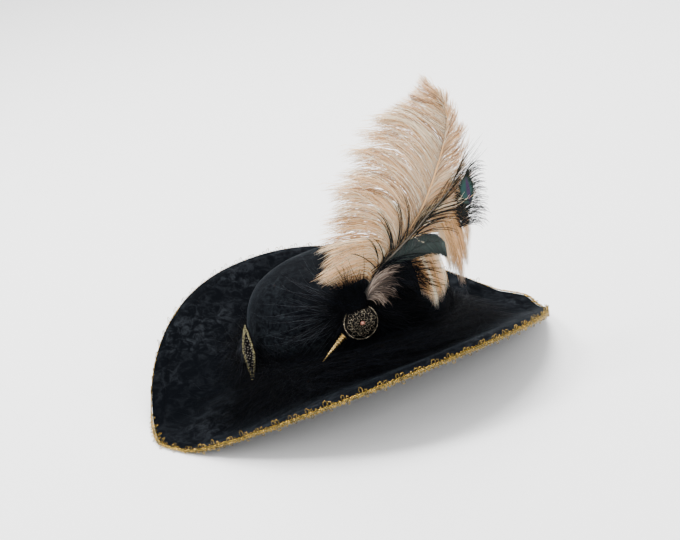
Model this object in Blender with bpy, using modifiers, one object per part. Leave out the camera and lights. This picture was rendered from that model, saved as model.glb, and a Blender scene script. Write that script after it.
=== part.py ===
"""Pirate hat: velvet crown and turned-up brim, gold braid, fluffy band, badge, brooch and feathers.

Metres, +Z up. The hat rests on its front and back tips at Z = 0. The origin is the middle of the
head opening, seen from above. The front is -Y and the wearer's left, which carries the ornaments, +X.
"""

import math

import bmesh
import bpy
from mathutils import Matrix, Vector

# Driving dimensions.
GAP = 0.0003                     # clearance between pieces that touch
RING_HEIGHT = 0.029              # brim's underside at the head opening, above the tips
CROWN_LENGTH = 0.208
CROWN_WIDTH = 0.171
CROWN_HEIGHT = 0.0874            # from the brim's underside to the top
CROWN_WALL = 0.002
CROWN_SQUARENESS = 3.77          # 2 is an egg's end, higher is closer to a flat top
BRIM_HALF_LENGTH = 0.219
BRIM_HALF_WIDTH = 0.187
BRIM_WALL = 0.0024
BRIM_END_FULLNESS = 2.19         # how the outline runs along the hat
BRIM_SIDE_FULLNESS = 1.35        # how the outline runs across it: under 2 gives blunt points
SIDE_RISE = 0.069                # height of the turned-up sides above the tips
SIDE_RISE_CURVE = 1.1            # of the rim, from the tips to the sides
SIDE_RISE_EASE = 0.05            # softens the bend where the rim leaves the ground
SWEEP_CURVE = 1.15               # of the brim, from the crown to the hem
REST_HALF_WIDTH = 0.028          # half the width of the flat patch at each tip
HEM_WIDTH = 0.014
BRAID_HEIGHT = 0.0070
BRAID_THICKNESS = 0.0022
BAND_THICKNESS = 0.018           # fluffy band, outward from the crown
BAND_HEIGHT = 0.024
BAND_PRESSED = 0.6               # how much the badge flattens the band at the front
BAND_GAP = 0.0006                # the band lies loosely on the twisting brim
BADGE_LENGTH = 0.057
BADGE_WIDTH = 0.0245
BADGE_THICKNESS = 0.0012
BADGE_BORDER = 0.0036
BADGE_BORDER_HEIGHT = 0.0014
BADGE_TILT = math.radians(4.5)
BADGE_LEAN = math.radians(6.0)
ORNAMENT_AZIMUTH = math.radians(73.0)    # direction that the brooch faces, from the front
ORNAMENT_HEIGHT = 0.0863         # brooch's centre above the tips
ORNAMENT_STAND_OFF = 0.012       # from the crown to the brooch's back
FEATHER_LEAN = math.radians(8.0)
FEATHER_FOOT_ALONG = 0.008       # the feathers' foot from the brooch's centre, towards the back
FEATHER_FOOT_RISE = 0.0063       # and above the brooch's rim
PUFF_HALF_LENGTH = 0.050
PUFF_HALF_HEIGHT = 0.020
BROOCH_RADIUS = 0.0172
BROOCH_DOME = 0.0065
BROOCH_RIM = 0.0012
BEAD_RADIUS = 0.0024
SPIKE_LENGTH = 0.0335
SPIKE_RADIUS = 0.0038
PLUME_THICKNESS = 0.0052
FEATHER_THICKNESS = 0.0011
STEM_RADIUS = 0.0010
EYE_HALF_WIDTH = 0.0095
EYE_HALF_HEIGHT = 0.0175
TUFT_THICKNESS = 0.0030
AROUND = 84                      # steps round the crown, the brim and what follows them

MM = 0.001
TAU = 2.0 * math.pi


def clear_scene():
    for obj in list(bpy.data.objects):
        bpy.data.objects.remove(obj, do_unlink=True)


def make_material(name, color, roughness, metallic=0.0):
    material = bpy.data.materials.new(name)
    material.use_nodes = True
    shader = material.node_tree.nodes["Principled BSDF"]
    shader.inputs["Base Color"].default_value = (*color, 1.0)
    shader.inputs["Roughness"].default_value = roughness
    shader.inputs["Metallic"].default_value = metallic
    return material


def add_object(name, data, collection, material):
    obj = bpy.data.objects.new(name, data)
    collection.objects.link(obj)
    data.materials.append(material)
    return obj


def adopt(obj, name, collection, material):
    """Moves a primitive from where it was added into the hat's collection."""
    for home in list(obj.users_collection):
        home.objects.unlink(obj)
    collection.objects.link(obj)
    obj.name = name
    obj.data.name = name
    obj.data.materials.append(material)
    obj.data.shade_smooth()
    return obj


def mesh_from(name, points, faces, collection, material, smooth=True):
    """A closed mesh with its faces turned outwards."""
    mesh = bpy.data.meshes.new(name)
    mesh.from_pydata([tuple(p) for p in points], [], faces)
    bm = bmesh.new()
    bm.from_mesh(mesh)
    bmesh.ops.remove_doubles(bm, verts=bm.verts, dist=1e-6)
    bmesh.ops.recalc_face_normals(bm, faces=bm.faces)
    bm.to_mesh(mesh)
    bm.free()
    if smooth:
        mesh.shade_smooth()
    return add_object(name, mesh, collection, material)


def signed_power(value, power):
    return math.copysign(abs(value) ** power, value)


# Crown.

def crown_radius_share(height):
    """Share of the crown's half-width that is left at a height above its foot."""
    level = min(max(height / CROWN_HEIGHT, 0.0), 1.0)
    return (1.0 - level ** CROWN_SQUARENESS) ** (1.0 / CROWN_SQUARENESS)


def crown_point(turn, lift):
    """Point on the crown's outer face: turn runs round it, lift from the foot (0) to the top (1)."""
    angle = lift * math.pi / 2.0
    share = math.cos(angle) ** (2.0 / CROWN_SQUARENESS) if lift < 1.0 else 0.0
    height = math.sin(angle) ** (2.0 / CROWN_SQUARENESS) * CROWN_HEIGHT
    x = CROWN_WIDTH / 2.0 * share * math.sin(turn)
    y = -CROWN_LENGTH / 2.0 * share * math.cos(turn)
    return Vector((x, y, RING_HEIGHT + height))


def build_crown(collection, material):
    lifts = [0.0, 0.04, 0.12, 0.25, 0.4, 0.55, 0.7, 0.83, 0.93]
    points = []
    for lift in lifts:
        points += [crown_point(TAU * i / AROUND, lift) for i in range(AROUND)]
    top = len(points)
    points.append(crown_point(0.0, 1.0))
    faces = []
    for row in range(len(lifts) - 1):
        for i in range(AROUND):
            j = (i + 1) % AROUND
            low = row * AROUND
            high = low + AROUND
            faces.append((low + i, low + j, high + j, high + i))
    last = (len(lifts) - 1) * AROUND
    faces += [(last + i, last + (i + 1) % AROUND, top) for i in range(AROUND)]
    crown = mesh_from("crown", points, faces, collection, material)
    wall = crown.modifiers.new("wall", "SOLIDIFY")
    wall.thickness = CROWN_WALL
    wall.offset = -1.0
    wall.use_even_offset = True
    return crown


# Brim.

def ring_point(turn):
    """The brim's inner edge, just clear of the crown."""
    x = (CROWN_WIDTH / 2.0 + GAP) * math.sin(turn)
    y = -(CROWN_LENGTH / 2.0 + GAP) * math.cos(turn)
    return Vector((x, y, 0.0))


def rim_point(turn):
    """The brim's outer edge, seen from above."""
    x = BRIM_HALF_WIDTH * signed_power(math.sin(turn), 2.0 / BRIM_SIDE_FULLNESS)
    y = -BRIM_HALF_LENGTH * signed_power(math.cos(turn), 2.0 / BRIM_END_FULLNESS)
    return Vector((x, y, 0.0))


def rim_outward(turn):
    """Direction away from the hat at the rim, level."""
    step = 0.01
    along = rim_point(turn + step) - rim_point(turn - step)
    return Vector((along.y, -along.x, 0.0)).normalized()


def side_share(turn):
    """0 on the flat patch at each tip, 1 at the middle of a turned-up side."""
    reach = abs(rim_point(turn).x)
    share = max(0.0, (reach - REST_HALF_WIDTH) / (BRIM_HALF_WIDTH - REST_HALF_WIDTH))
    eased = share * (1.0 + SIDE_RISE_EASE) / (share + SIDE_RISE_EASE)
    return eased * share ** SIDE_RISE_CURVE


def ruling_length(turn):
    return (rim_point(turn) - ring_point(turn)).length


def brim_under(turn, distance):
    """Point on the brim's underside, a level distance out from the head opening."""
    length = ruling_length(turn)
    share = distance / length
    place = ring_point(turn).lerp(rim_point(turn), share)
    to_hem = min(1.0, distance / (length - HEM_WIDTH))
    side = side_share(turn)
    swept_up = to_hem ** SWEEP_CURVE
    drooping = math.sin(to_hem * math.pi / 2.0)
    bend = side * swept_up + (1.0 - side) * drooping
    place.z = RING_HEIGHT + (SIDE_RISE * side - RING_HEIGHT) * bend
    return place


def loft_loop(name, sections, collection, material):
    """Closed ring through closed sections that all have as many points."""
    count = len(sections[0])
    total = len(sections)
    points = [point for section in sections for point in section]
    faces = []
    for a in range(total):
        b = (a + 1) % total
        for i in range(count):
            j = (i + 1) % count
            faces.append((a * count + i, b * count + i, b * count + j, a * count + j))
    return mesh_from(name, points, faces, collection, material)


def build_brim(collection, material):
    up = Vector((0.0, 0.0, BRIM_WALL))
    sections = []
    for i in range(AROUND):
        turn = TAU * i / AROUND
        length = ruling_length(turn)
        to_seam = length - HEM_WIDTH
        beyond = to_seam - BAND_THICKNESS
        stations = [0.0, BAND_THICKNESS / 2.0]
        stations += [BAND_THICKNESS + beyond * share for share in (0.0, 0.3, 0.6, 0.83, 1.0)]
        stations.append(length)
        under = [brim_under(turn, distance) for distance in stations]
        sections.append(under + [point + up for point in reversed(under)])
    return loft_loop("brim", sections, collection, material)


def build_braid(collection, material):
    """Ribbon on the rim's outer face; at the tips it turns outward and lies on the ground."""
    sections = []
    for i in range(AROUND):
        turn = TAU * i / AROUND
        outward = rim_outward(turn)
        top = brim_under(turn, ruling_length(turn)) + outward * GAP
        top.z += BRIM_WALL
        room = (top.z - GAP) / BRAID_HEIGHT
        steep = room / (1.0 + room ** 4) ** 0.25
        level = math.sqrt(1.0 - steep ** 2)
        down = outward * level - Vector((0.0, 0.0, steep))
        across = outward * steep + Vector((0.0, 0.0, level))
        low = top + down * BRAID_HEIGHT
        thick = across * BRAID_THICKNESS
        sections.append([top, low, low + thick, top + thick])
    return loft_loop("gold_braid", sections, collection, material)


def under_band(turn, distance):
    """Point on the brim's underside below the band, where the brim is two flat strips."""
    half = BAND_THICKNESS / 2.0
    inner = 0.0 if distance <= half else half
    start = brim_under(turn, inner)
    end = brim_under(turn, inner + half)
    return start.lerp(end, (distance - inner) / half)


def build_band(collection, material):
    """Fluffy band round the crown's foot, pressed flat behind the badge."""
    profile = [(0.0, 0.0), (0.5, 0.0), (0.89, 0.12), (1.0, 0.38), (0.83, 0.7), (0.5, 0.92), (0.0, 1.0)]
    sections = []
    for i in range(AROUND):
        turn = TAU * i / AROUND
        from_front = math.remainder(turn, TAU) * CROWN_WIDTH / 2.0
        pressed = BAND_PRESSED * math.exp(-((from_front / BADGE_WIDTH) ** 2))
        thickness = BAND_THICKNESS * (1.0 - pressed)
        section = []
        for out, lift in profile:
            place = under_band(turn, out * thickness)
            place.z += BRIM_WALL + BAND_GAP + lift * BAND_HEIGHT
            section.append(place)
        sections.append(section)
    return loft_loop("marabou_band", sections, collection, material)


# Badge at the front.

def lozenge(length, width, bulge=0.12, steps=4):
    """Pointed outline with slightly bowed sides, in the XZ plane, point to point along Z."""
    corners = [(0.0, length / 2.0), (width / 2.0, 0.0), (0.0, -length / 2.0), (-width / 2.0, 0.0)]
    outline = []
    for a in range(4):
        start = Vector(corners[a])
        end = Vector(corners[(a + 1) % 4])
        middle = (start + end) / 2.0
        for step in range(steps):
            share = step / steps
            bow = 1.0 + 4.0 * bulge * share * (1.0 - share)
            point = start.lerp(end, share)
            outline.append(point + middle * (bow - 1.0))
    return outline


def badge_matrix():
    """The badge's own frame: Z up along it, -Y out of its face, behind it the pressed band."""
    band_front = CROWN_LENGTH / 2.0 + GAP + BAND_THICKNESS * (1.0 - BAND_PRESSED)
    middle_height = BADGE_LENGTH / 2.0 + RING_HEIGHT
    tilt_room = BADGE_LENGTH / 2.0 * math.sin(BADGE_TILT)
    place = Vector((0.0035, -(band_front + 2.0 * GAP + tilt_room / 2.0), middle_height))
    turn = Matrix.Rotation(-BADGE_TILT, 4, "X") @ Matrix.Rotation(-BADGE_LEAN, 4, "Y")
    return Matrix.Translation(place) @ turn


def build_badge_back(collection, material):
    outline = lozenge(BADGE_LENGTH, BADGE_WIDTH)
    count = len(outline)
    frame = badge_matrix()
    points = [frame @ Vector((p.x, 0.0, p.y)) for p in outline]
    points += [frame @ Vector((p.x, -BADGE_THICKNESS, p.y)) for p in outline]
    faces = [tuple(range(count)), tuple(reversed(range(count, 2 * count)))]
    faces += [(i, (i + 1) % count, (i + 1) % count + count, i + count) for i in range(count)]
    return mesh_from("front_badge_back", points, faces, collection, material, smooth=False)


def build_badge_border(collection, material):
    slope = BADGE_BORDER * math.hypot(BADGE_LENGTH, BADGE_WIDTH)
    outer = lozenge(BADGE_LENGTH, BADGE_WIDTH)
    inner = lozenge(BADGE_LENGTH - 2.0 * slope / BADGE_WIDTH, BADGE_WIDTH - 2.0 * slope / BADGE_LENGTH)
    low = -(BADGE_THICKNESS + GAP)
    high = low - BADGE_BORDER_HEIGHT
    frame = badge_matrix()
    sections = []
    for out, into in zip(outer, inner):
        square = [(out, low), (into, low), (into, high), (out, high)]
        sections.append([frame @ Vector((p.x, depth, p.y)) for p, depth in square])
    return loft_loop("front_badge_border", sections, collection, material)


# Ornament frame on the wearer's left: along (towards the back), up (leaning in) and out.

def ornament_axes():
    azimuth = ORNAMENT_AZIMUTH
    level_out = Vector((math.sin(azimuth), -math.cos(azimuth), 0.0))
    along = Vector((math.cos(azimuth), math.sin(azimuth), 0.0))
    rise = Vector((0.0, 0.0, 1.0))
    up = rise * math.cos(FEATHER_LEAN) - level_out * math.sin(FEATHER_LEAN)
    out = level_out * math.cos(FEATHER_LEAN) + rise * math.sin(FEATHER_LEAN)
    half_width = CROWN_WIDTH / 2.0
    half_length = CROWN_LENGTH / 2.0
    share = crown_radius_share(ORNAMENT_HEIGHT - RING_HEIGHT)
    reach = math.hypot(half_width * level_out.x, half_length * level_out.y)
    x = half_width ** 2 * level_out.x / reach * share
    y = half_length ** 2 * level_out.y / reach * share
    origin = Vector((x, y, ORNAMENT_HEIGHT)) + level_out * ORNAMENT_STAND_OFF
    return origin, along, up, out


def ornament_matrix():
    origin, along, up, out = ornament_axes()
    columns = Matrix((along, up, out)).transposed().to_4x4()
    return Matrix.Translation(origin) @ columns


def on_foot(point, out):
    """Place in the ornament frame of a feather's point, given in mm from the feathers' foot."""
    foot_up = BROOCH_RADIUS + FEATHER_FOOT_RISE
    return Vector((FEATHER_FOOT_ALONG + point[0] * MM, foot_up + point[1] * MM, out))


def build_puff(collection, material):
    half_depth = ORNAMENT_STAND_OFF / 2.0 - 2.2 * GAP
    bpy.ops.mesh.primitive_uv_sphere_add(segments=32, ring_count=12, radius=1.0)
    puff = adopt(bpy.context.active_object, "marabou_puff", collection, material)
    size = Matrix.Diagonal((PUFF_HALF_LENGTH, PUFF_HALF_HEIGHT, half_depth, 1.0))
    centre = Matrix.Translation((0.0, 0.4 * PUFF_HALF_HEIGHT, -ORNAMENT_STAND_OFF / 2.0))
    puff.data.transform(ornament_matrix() @ centre @ size)
    return puff


def turned(name, profile, steps, frame, collection, material):
    """Solid of revolution about the frame's Z, from (radius, height) points, both ends on the axis."""
    mesh = bpy.data.meshes.new(name)
    bm = bmesh.new()
    verts = [bm.verts.new((radius, 0.0, height)) for radius, height in profile]
    edges = [bm.edges.new(pair) for pair in zip(verts, verts[1:])]
    bmesh.ops.spin(bm, geom=verts + edges, axis=(0, 0, 1), cent=(0, 0, 0), angle=TAU, steps=steps,
                   use_merge=True)
    bmesh.ops.remove_doubles(bm, verts=bm.verts, dist=1e-6)
    bmesh.ops.recalc_face_normals(bm, faces=bm.faces)
    bm.transform(frame)
    bm.to_mesh(mesh)
    bm.free()
    mesh.shade_smooth()
    mesh.set_sharp_from_angle(angle=math.radians(40.0))
    return add_object(name, mesh, collection, material)


def dome_height(radius):
    return BROOCH_DOME * math.sqrt(max(0.0, 1.0 - (radius / BROOCH_RADIUS) ** 2))


def build_brooch(collection, dome_material, rim_material, bead_material):
    frame = ornament_matrix()
    plate = 1.2 * MM
    dome_edge = BROOCH_RADIUS - 2.0 * BROOCH_RIM - GAP
    base_height = plate - dome_height(dome_edge)
    radii = [dome_edge * share for share in (1.0, 0.85, 0.65, 0.42, 0.2)]
    profile = [(0.0, 0.0), (dome_edge, 0.0)]
    profile += [(radius, base_height + dome_height(radius)) for radius in radii]
    top = base_height + dome_height(0.0)
    profile.append((0.0, top))
    turned("brooch_dome", profile, 36, frame, collection, dome_material)
    ring_radius = BROOCH_RADIUS - BROOCH_RIM
    bpy.ops.mesh.primitive_torus_add(major_radius=ring_radius, minor_radius=BROOCH_RIM,
                                     major_segments=40, minor_segments=8)
    rim = adopt(bpy.context.active_object, "brooch_rim", collection, rim_material)
    rim.data.transform(frame @ Matrix.Translation((0.0, 0.0, BROOCH_RIM)))
    seat = top + GAP
    bead_profile = [(0.0, seat)]
    for step in range(1, 7):
        angle = math.pi * step / 6.0
        bead_profile.append((BEAD_RADIUS * math.sin(angle), seat + BEAD_RADIUS * (1.0 - math.cos(angle))))
    bead_profile[-1] = (0.0, seat + 2.0 * BEAD_RADIUS)
    turned("brooch_bead", bead_profile, 16, frame, collection, bead_material)


def build_spike(collection, material):
    """Ridged spike from the brooch's rim, down towards the front."""
    direction = Vector((-0.78, -0.62, 0.0)).normalized()
    root_direction = Vector((-0.92, -0.42, 0.0)).normalized()
    root = root_direction * (BROOCH_RADIUS + SPIKE_RADIUS * 0.45 + GAP) + Vector((0.0, 0.0, 2.0 * MM))
    side = Vector((0.0, 0.0, 1.0)).cross(direction)
    local = Matrix((side, Vector((0.0, 0.0, 1.0)), direction)).transposed().to_4x4()
    frame = ornament_matrix() @ Matrix.Translation(root) @ local
    profile = [(0.0, 0.0), (SPIKE_RADIUS * 0.8, 0.0)]
    ridges = 9
    for ridge in range(ridges):
        start = ridge / ridges
        taper = 1.0 - 0.88 * start
        profile.append((SPIKE_RADIUS * taper, SPIKE_LENGTH * (start + 0.25 / ridges)))
        profile.append((SPIKE_RADIUS * taper * 0.86, SPIKE_LENGTH * (start + 0.85 / ridges)))
    profile.append((0.0, SPIKE_LENGTH))
    return turned("brooch_spike", profile, 12, frame, collection, material)


def blend_rows(rows, out_shape, columns):
    """Grid of points through rows of (left, quill, right), in mm from the feathers' foot."""
    grid = []
    for index, (left, quill, right) in enumerate(rows):
        line = []
        for column in range(columns + 1):
            side = 2.0 * column / columns - 1.0
            start, end = (quill, left) if side < 0.0 else (quill, right)
            share = abs(side)
            sag = share * share
            x = start[0] + (end[0] - start[0]) * (0.35 * sag + 0.65 * share)
            y = start[1] + (end[1] - start[1]) * (0.75 * sag + 0.25 * share)
            line.append(on_foot((x, y), out_shape(index / (len(rows) - 1), side)))
        grid.append(line)
    return grid


def build_blade(name, rows, out_shape, thickness_shape, columns, collection, material):
    """Feather vane: a closed sheet whose front follows out_shape, and as thick as thickness_shape."""
    front = blend_rows(rows, out_shape, columns)
    back = blend_rows(rows, lambda s, c: out_shape(s, c) - thickness_shape(s, c), columns)
    frame = ornament_matrix()
    wide = columns + 1
    points = [frame @ p for line in front for p in line]
    offset = len(points)
    points += [frame @ p for line in back for p in line]
    faces = []
    for r in range(len(rows) - 1):
        for c in range(columns):
            a = r * wide + c
            quad = (a, a + 1, a + wide + 1, a + wide)
            faces.append(quad)
            faces.append(tuple(offset + i for i in reversed(quad)))
    border = list(range(wide))
    border += [r * wide + columns for r in range(1, len(rows))]
    border += [(len(rows) - 1) * wide + c for c in range(columns - 1, -1, -1)]
    border += [r * wide for r in range(len(rows) - 2, 0, -1)]
    for a, b in zip(border, border[1:] + border[:1]):
        faces.append((a, b, b + offset, a + offset))
    return mesh_from(name, points, faces, collection, material)


# Feather outlines: (left edge, quill, right edge) from the foot to the tip, in mm.
PLUME_ROWS = [
    ((-2, 0), (1, 1), (4, 0)),
    ((-28, 13), (10, 12), (38, 4)),
    ((-39, 19), (18, 20), (58, -14)),
    ((-42, 28), (26, 28), (75, -32)),
    ((-35, 47), (33, 34), (83, -8)),
    ((-27, 65), (40, 40), (90, -3)),
    ((-20, 79), (47, 46), (99, -13)),
    ((-14, 93), (56, 54), (107, 17)),
    ((-10, 104), (66, 65), (113, 45)),
    ((-2, 113), (75, 78), (116, 66)),
    ((6, 124), (84, 93), (120, 86)),
    ((15, 133), (93, 110), (121, 106)),
    ((32, 150), (100, 124), (121, 122)),
    ((37, 160), (106, 138), (120, 137)),
    ((56, 166), (107, 155), (113, 152)),
    ((77, 174), (103, 168), (106, 166)),
    ((93, 188), (98, 180), (100, 179)),
]
DARK_ROWS = [
    ((2, 2), (4, 1), (6, -1)),
    ((14, 13), (15, 10), (17, 8)),
    ((32, 31), (34, 25), (36, 18)),
    ((50, 42), (53, 33), (56, 24)),
    ((64, 45), (67, 36), (70, 24)),
    ((77, 42), (77, 34), (78, 21)),
    ((84, 33), (84, 26), (84, 17)),
]
TUFT_ROWS = [
    ((1, 0), (3, -1), (5, -3)),
    ((8, 9), (11, 4), (14, -3)),
    ((16, 16), (20, 9), (22, -6)),
    ((28, 18), (31, 12), (30, -4)),
    ((38, 17), (40, 12), (38, 1)),
]
STEM_ROUTE = [(0, 3), (8, 12), (18, 23), (33, 33), (48, 43), (59, 51), (70, 60), (83, 69), (94, 78),
              (101, 86), (107, 95), (112, 102), (118, 113)]
EYE_CENTRE = (112, 75)


def plume_out(along, side):
    """Front face of the plume: the left vane falls back, the right one a little forward."""
    swell = math.sin(math.pi * min(1.0, along * 1.6) / 2.0)
    back = 11.0 * MM * swell * side * side if side < 0.0 else 0.0
    return 0.5 * MM - back


def plume_thickness(along, side):
    swell = math.sin(math.pi * min(1.0, along * 3.0) / 2.0)
    return (1.2 * MM + (PLUME_THICKNESS - 1.2 * MM) * swell) * (1.0 - 0.6 * side * side)


def build_plume(collection, material):
    return build_blade("ostrich_plume", PLUME_ROWS, plume_out, plume_thickness, 12, collection, material)


def build_dark_feather(collection, material):
    front = 0.5 * MM + GAP + FEATHER_THICKNESS
    bow = 0.8 * MM
    return build_blade("dark_feather", DARK_ROWS, lambda s, c: front + bow * (1.0 - c * c) * s,
                       lambda s, c: FEATHER_THICKNESS, 6, collection, material)


def stem_out():
    """Depth of the peacock stem's axis: it lies in front of the dark feather."""
    return 0.5 * MM + 2.0 * GAP + FEATHER_THICKNESS + 0.8 * MM + STEM_RADIUS


def build_stem(collection, material):
    curve = bpy.data.curves.new("peacock_stem", "CURVE")
    curve.dimensions = "3D"
    curve.bevel_depth = STEM_RADIUS
    curve.bevel_resolution = 2
    curve.use_fill_caps = True
    spline = curve.splines.new("POLY")
    route = [on_foot(point, stem_out()) for point in STEM_ROUTE]
    route[0].y = BROOCH_RADIUS + STEM_RADIUS + 2.0 * GAP
    spline.points.add(len(route) - 1)
    frame = ornament_matrix()
    for slot, place in zip(spline.points, route):
        slot.co = (*(frame @ place), 1.0)
    return add_object("peacock_stem", curve, collection, material)


def build_eye(collection, material):
    """Oval eye beside the stem's upper end."""
    lean = math.radians(-8.0)
    depth = 1.2 * MM
    centre = on_foot(EYE_CENTRE, stem_out() + STEM_RADIUS + GAP)
    steps = 24
    frame = ornament_matrix() @ Matrix.Translation(centre) @ Matrix.Rotation(lean, 4, "Z")
    ring = []
    for i in range(steps):
        angle = TAU * i / steps
        ring.append((EYE_HALF_WIDTH * math.cos(angle), EYE_HALF_HEIGHT * math.sin(angle)))
    points = []
    for share, level in ((1.0, 0.0), (1.0, 0.6 * depth), (0.6, depth)):
        points += [frame @ Vector((x * share, y * share, level)) for x, y in ring]
    faces = [tuple(range(steps)), tuple(reversed(range(2 * steps, 3 * steps)))]
    for level in range(2):
        for i in range(steps):
            j = (i + 1) % steps
            a = level * steps
            faces.append((a + i, a + j, a + steps + j, a + steps + i))
    return mesh_from("peacock_eye", points, faces, collection, material)


def build_tuft(collection, material):
    front = stem_out() + STEM_RADIUS + GAP + TUFT_THICKNESS
    return build_blade("ostrich_tuft", TUFT_ROWS, lambda s, c: front,
                       lambda s, c: TUFT_THICKNESS * (1.0 - 0.5 * c * c), 6, collection, material)


def main():
    clear_scene()
    hat = bpy.data.collections.new("pirate_hat")
    bpy.context.scene.collection.children.link(hat)
    velvet = make_material("black_velvet", (0.012, 0.014, 0.016), 0.85)
    brim_velvet = make_material("brim_velvet", (0.010, 0.012, 0.014), 0.88)
    gold_braid = make_material("gold_braid", (0.60, 0.40, 0.09), 0.35, 1.0)
    marabou = make_material("black_marabou", (0.006, 0.007, 0.010), 0.8)
    puff = make_material("puff_marabou", (0.006, 0.007, 0.010), 0.8)
    badge_cloth = make_material("badge_cloth", (0.02, 0.02, 0.02), 0.6)
    badge_gold = make_material("badge_gold", (0.42, 0.33, 0.14), 0.4, 1.0)
    brooch_black = make_material("brooch_enamel", (0.02, 0.018, 0.015), 0.4)
    brooch_gold = make_material("antique_gold", (0.50, 0.42, 0.28), 0.35, 1.0)
    copper = make_material("copper_bead", (0.60, 0.30, 0.24), 0.3, 1.0)
    spike_gold = make_material("spike_gold", (0.55, 0.38, 0.14), 0.35, 1.0)
    champagne = make_material("champagne_ostrich", (0.75, 0.56, 0.40), 0.8)
    pink = make_material("pink_ostrich", (0.45, 0.32, 0.27), 0.8)
    stem = make_material("peacock_quill", (0.10, 0.08, 0.05), 0.5)
    eye = make_material("peacock_eye", (0.01, 0.12, 0.10), 0.35)
    dark = make_material("dark_feather", (0.01, 0.02, 0.018), 0.4)
    build_crown(hat, velvet)
    build_brim(hat, brim_velvet)
    build_braid(hat, gold_braid)
    build_band(hat, marabou)
    build_puff(hat, puff)
    build_badge_back(hat, badge_cloth)
    build_badge_border(hat, badge_gold)
    build_brooch(hat, brooch_black, brooch_gold, copper)
    build_spike(hat, spike_gold)
    build_plume(hat, champagne)
    build_tuft(hat, pink)
    build_stem(hat, stem)
    build_eye(hat, eye)
    build_dark_feather(hat, dark)


main()
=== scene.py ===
"""Looks of the pirate hat: velvet, braid, down, badge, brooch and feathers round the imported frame.

Metres, +Z up. The front tip of the brim points along -Y; the wearer's left, with the feathers, is +X.
"""

import math

import bpy
import numpy as np
from mathutils import Matrix, Vector, noise


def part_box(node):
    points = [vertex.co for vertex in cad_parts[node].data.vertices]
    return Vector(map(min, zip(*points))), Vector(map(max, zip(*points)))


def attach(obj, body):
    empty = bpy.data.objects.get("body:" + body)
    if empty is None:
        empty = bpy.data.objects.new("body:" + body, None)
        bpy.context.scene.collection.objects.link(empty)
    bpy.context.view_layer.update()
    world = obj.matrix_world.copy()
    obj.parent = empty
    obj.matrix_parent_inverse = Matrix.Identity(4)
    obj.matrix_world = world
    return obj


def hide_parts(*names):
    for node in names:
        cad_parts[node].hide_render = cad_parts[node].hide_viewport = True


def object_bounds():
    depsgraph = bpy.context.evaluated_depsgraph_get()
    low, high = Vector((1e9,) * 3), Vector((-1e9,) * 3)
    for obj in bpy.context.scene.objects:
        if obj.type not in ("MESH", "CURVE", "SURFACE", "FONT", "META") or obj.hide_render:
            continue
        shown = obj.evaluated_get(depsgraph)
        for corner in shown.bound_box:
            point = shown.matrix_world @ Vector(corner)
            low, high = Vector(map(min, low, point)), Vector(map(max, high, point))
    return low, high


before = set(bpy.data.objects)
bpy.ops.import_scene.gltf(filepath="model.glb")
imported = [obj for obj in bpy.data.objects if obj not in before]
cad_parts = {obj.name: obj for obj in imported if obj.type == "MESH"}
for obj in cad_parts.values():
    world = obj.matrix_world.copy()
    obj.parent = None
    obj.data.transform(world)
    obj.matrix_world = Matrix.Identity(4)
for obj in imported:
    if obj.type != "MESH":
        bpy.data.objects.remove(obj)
cad_low, cad_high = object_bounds()

MM = 0.001
TAU = 2.0 * math.pi
UP = np.array([0.0, 0.0, 1.0])

# Sizes from the frame.
crown_low, crown_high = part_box("crown")
_, brim_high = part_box("brim")
CROWN_HALF_WIDTH = crown_high.x
CROWN_HALF_LENGTH = crown_high.y
CROWN_FOOT = crown_low.z
CROWN_HEIGHT = crown_high.z - crown_low.z
BRIM_HALF_WIDTH = brim_high.x
BRIM_HALF_LENGTH = brim_high.y

# Shape of the cloth, as in the model.
GAP = 0.3 * MM
CROWN_WALL = 2.0 * MM
CROWN_SQUARENESS = 3.77
BRIM_WALL = 2.4 * MM
SIDE_RISE = brim_high.z - BRIM_WALL
BRIM_END_FULLNESS = 2.19
BRIM_SIDE_FULLNESS = 1.35
SIDE_RISE_CURVE = 1.1
SIDE_RISE_EASE = 0.05
SWEEP_CURVE = 1.15
REST_HALF_WIDTH = 28.0 * MM
HEM_WIDTH = 14.0 * MM
BRAID_HEIGHT = 7.0 * MM

# Ornaments on the wearer's left.
ORNAMENT_AZIMUTH = math.radians(73.0)
ORNAMENT_HEIGHT = 86.3 * MM
ORNAMENT_STAND_OFF = 12.0 * MM
FEATHER_LEAN = math.radians(8.0)
BROOCH_RADIUS = 17.2 * MM
BROOCH_DOME = 6.5 * MM
BROOCH_RIM = 1.2 * MM
SPIKE_LENGTH = 33.5 * MM
SPIKE_RADIUS = 3.8 * MM
FOOT = np.array([8.0, 23.5, 0.0])        # the feathers' foot in the ornament frame, in mm

# Badge at the front.
BADGE_LENGTH = 57.0 * MM
BADGE_WIDTH = 24.5 * MM
BADGE_THICKNESS = 1.2 * MM
BADGE_TILT = math.radians(4.5)
BADGE_LEAN = math.radians(6.0)
BADGE_STAND = 8.92 * MM                  # pressed band between the crown and the badge
BADGE_SHIFT = 3.5 * MM                   # off the crown's middle line
BADGE_BULGE = 0.12                       # how far its sides bow, as a share of its half size


def signed_power(value, power):
    return np.sign(value) * np.abs(value) ** power


def level(x, y):
    return np.stack([x, y, np.zeros_like(x)], axis=-1)


def unit(vectors):
    return vectors / np.maximum(np.linalg.norm(vectors, axis=-1, keepdims=True), 1e-12)


# The cloth's surfaces: turn runs round the hat from the front towards the wearer's left.

def crown_place(turn, lift):
    angle = lift * math.pi / 2.0
    share = np.cos(angle).clip(0.0) ** (2.0 / CROWN_SQUARENESS)
    height = np.sin(angle).clip(0.0) ** (2.0 / CROWN_SQUARENESS) * CROWN_HEIGHT
    place = level(CROWN_HALF_WIDTH * share * np.sin(turn), -CROWN_HALF_LENGTH * share * np.cos(turn))
    place[..., 2] = CROWN_FOOT + height
    return place


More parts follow.
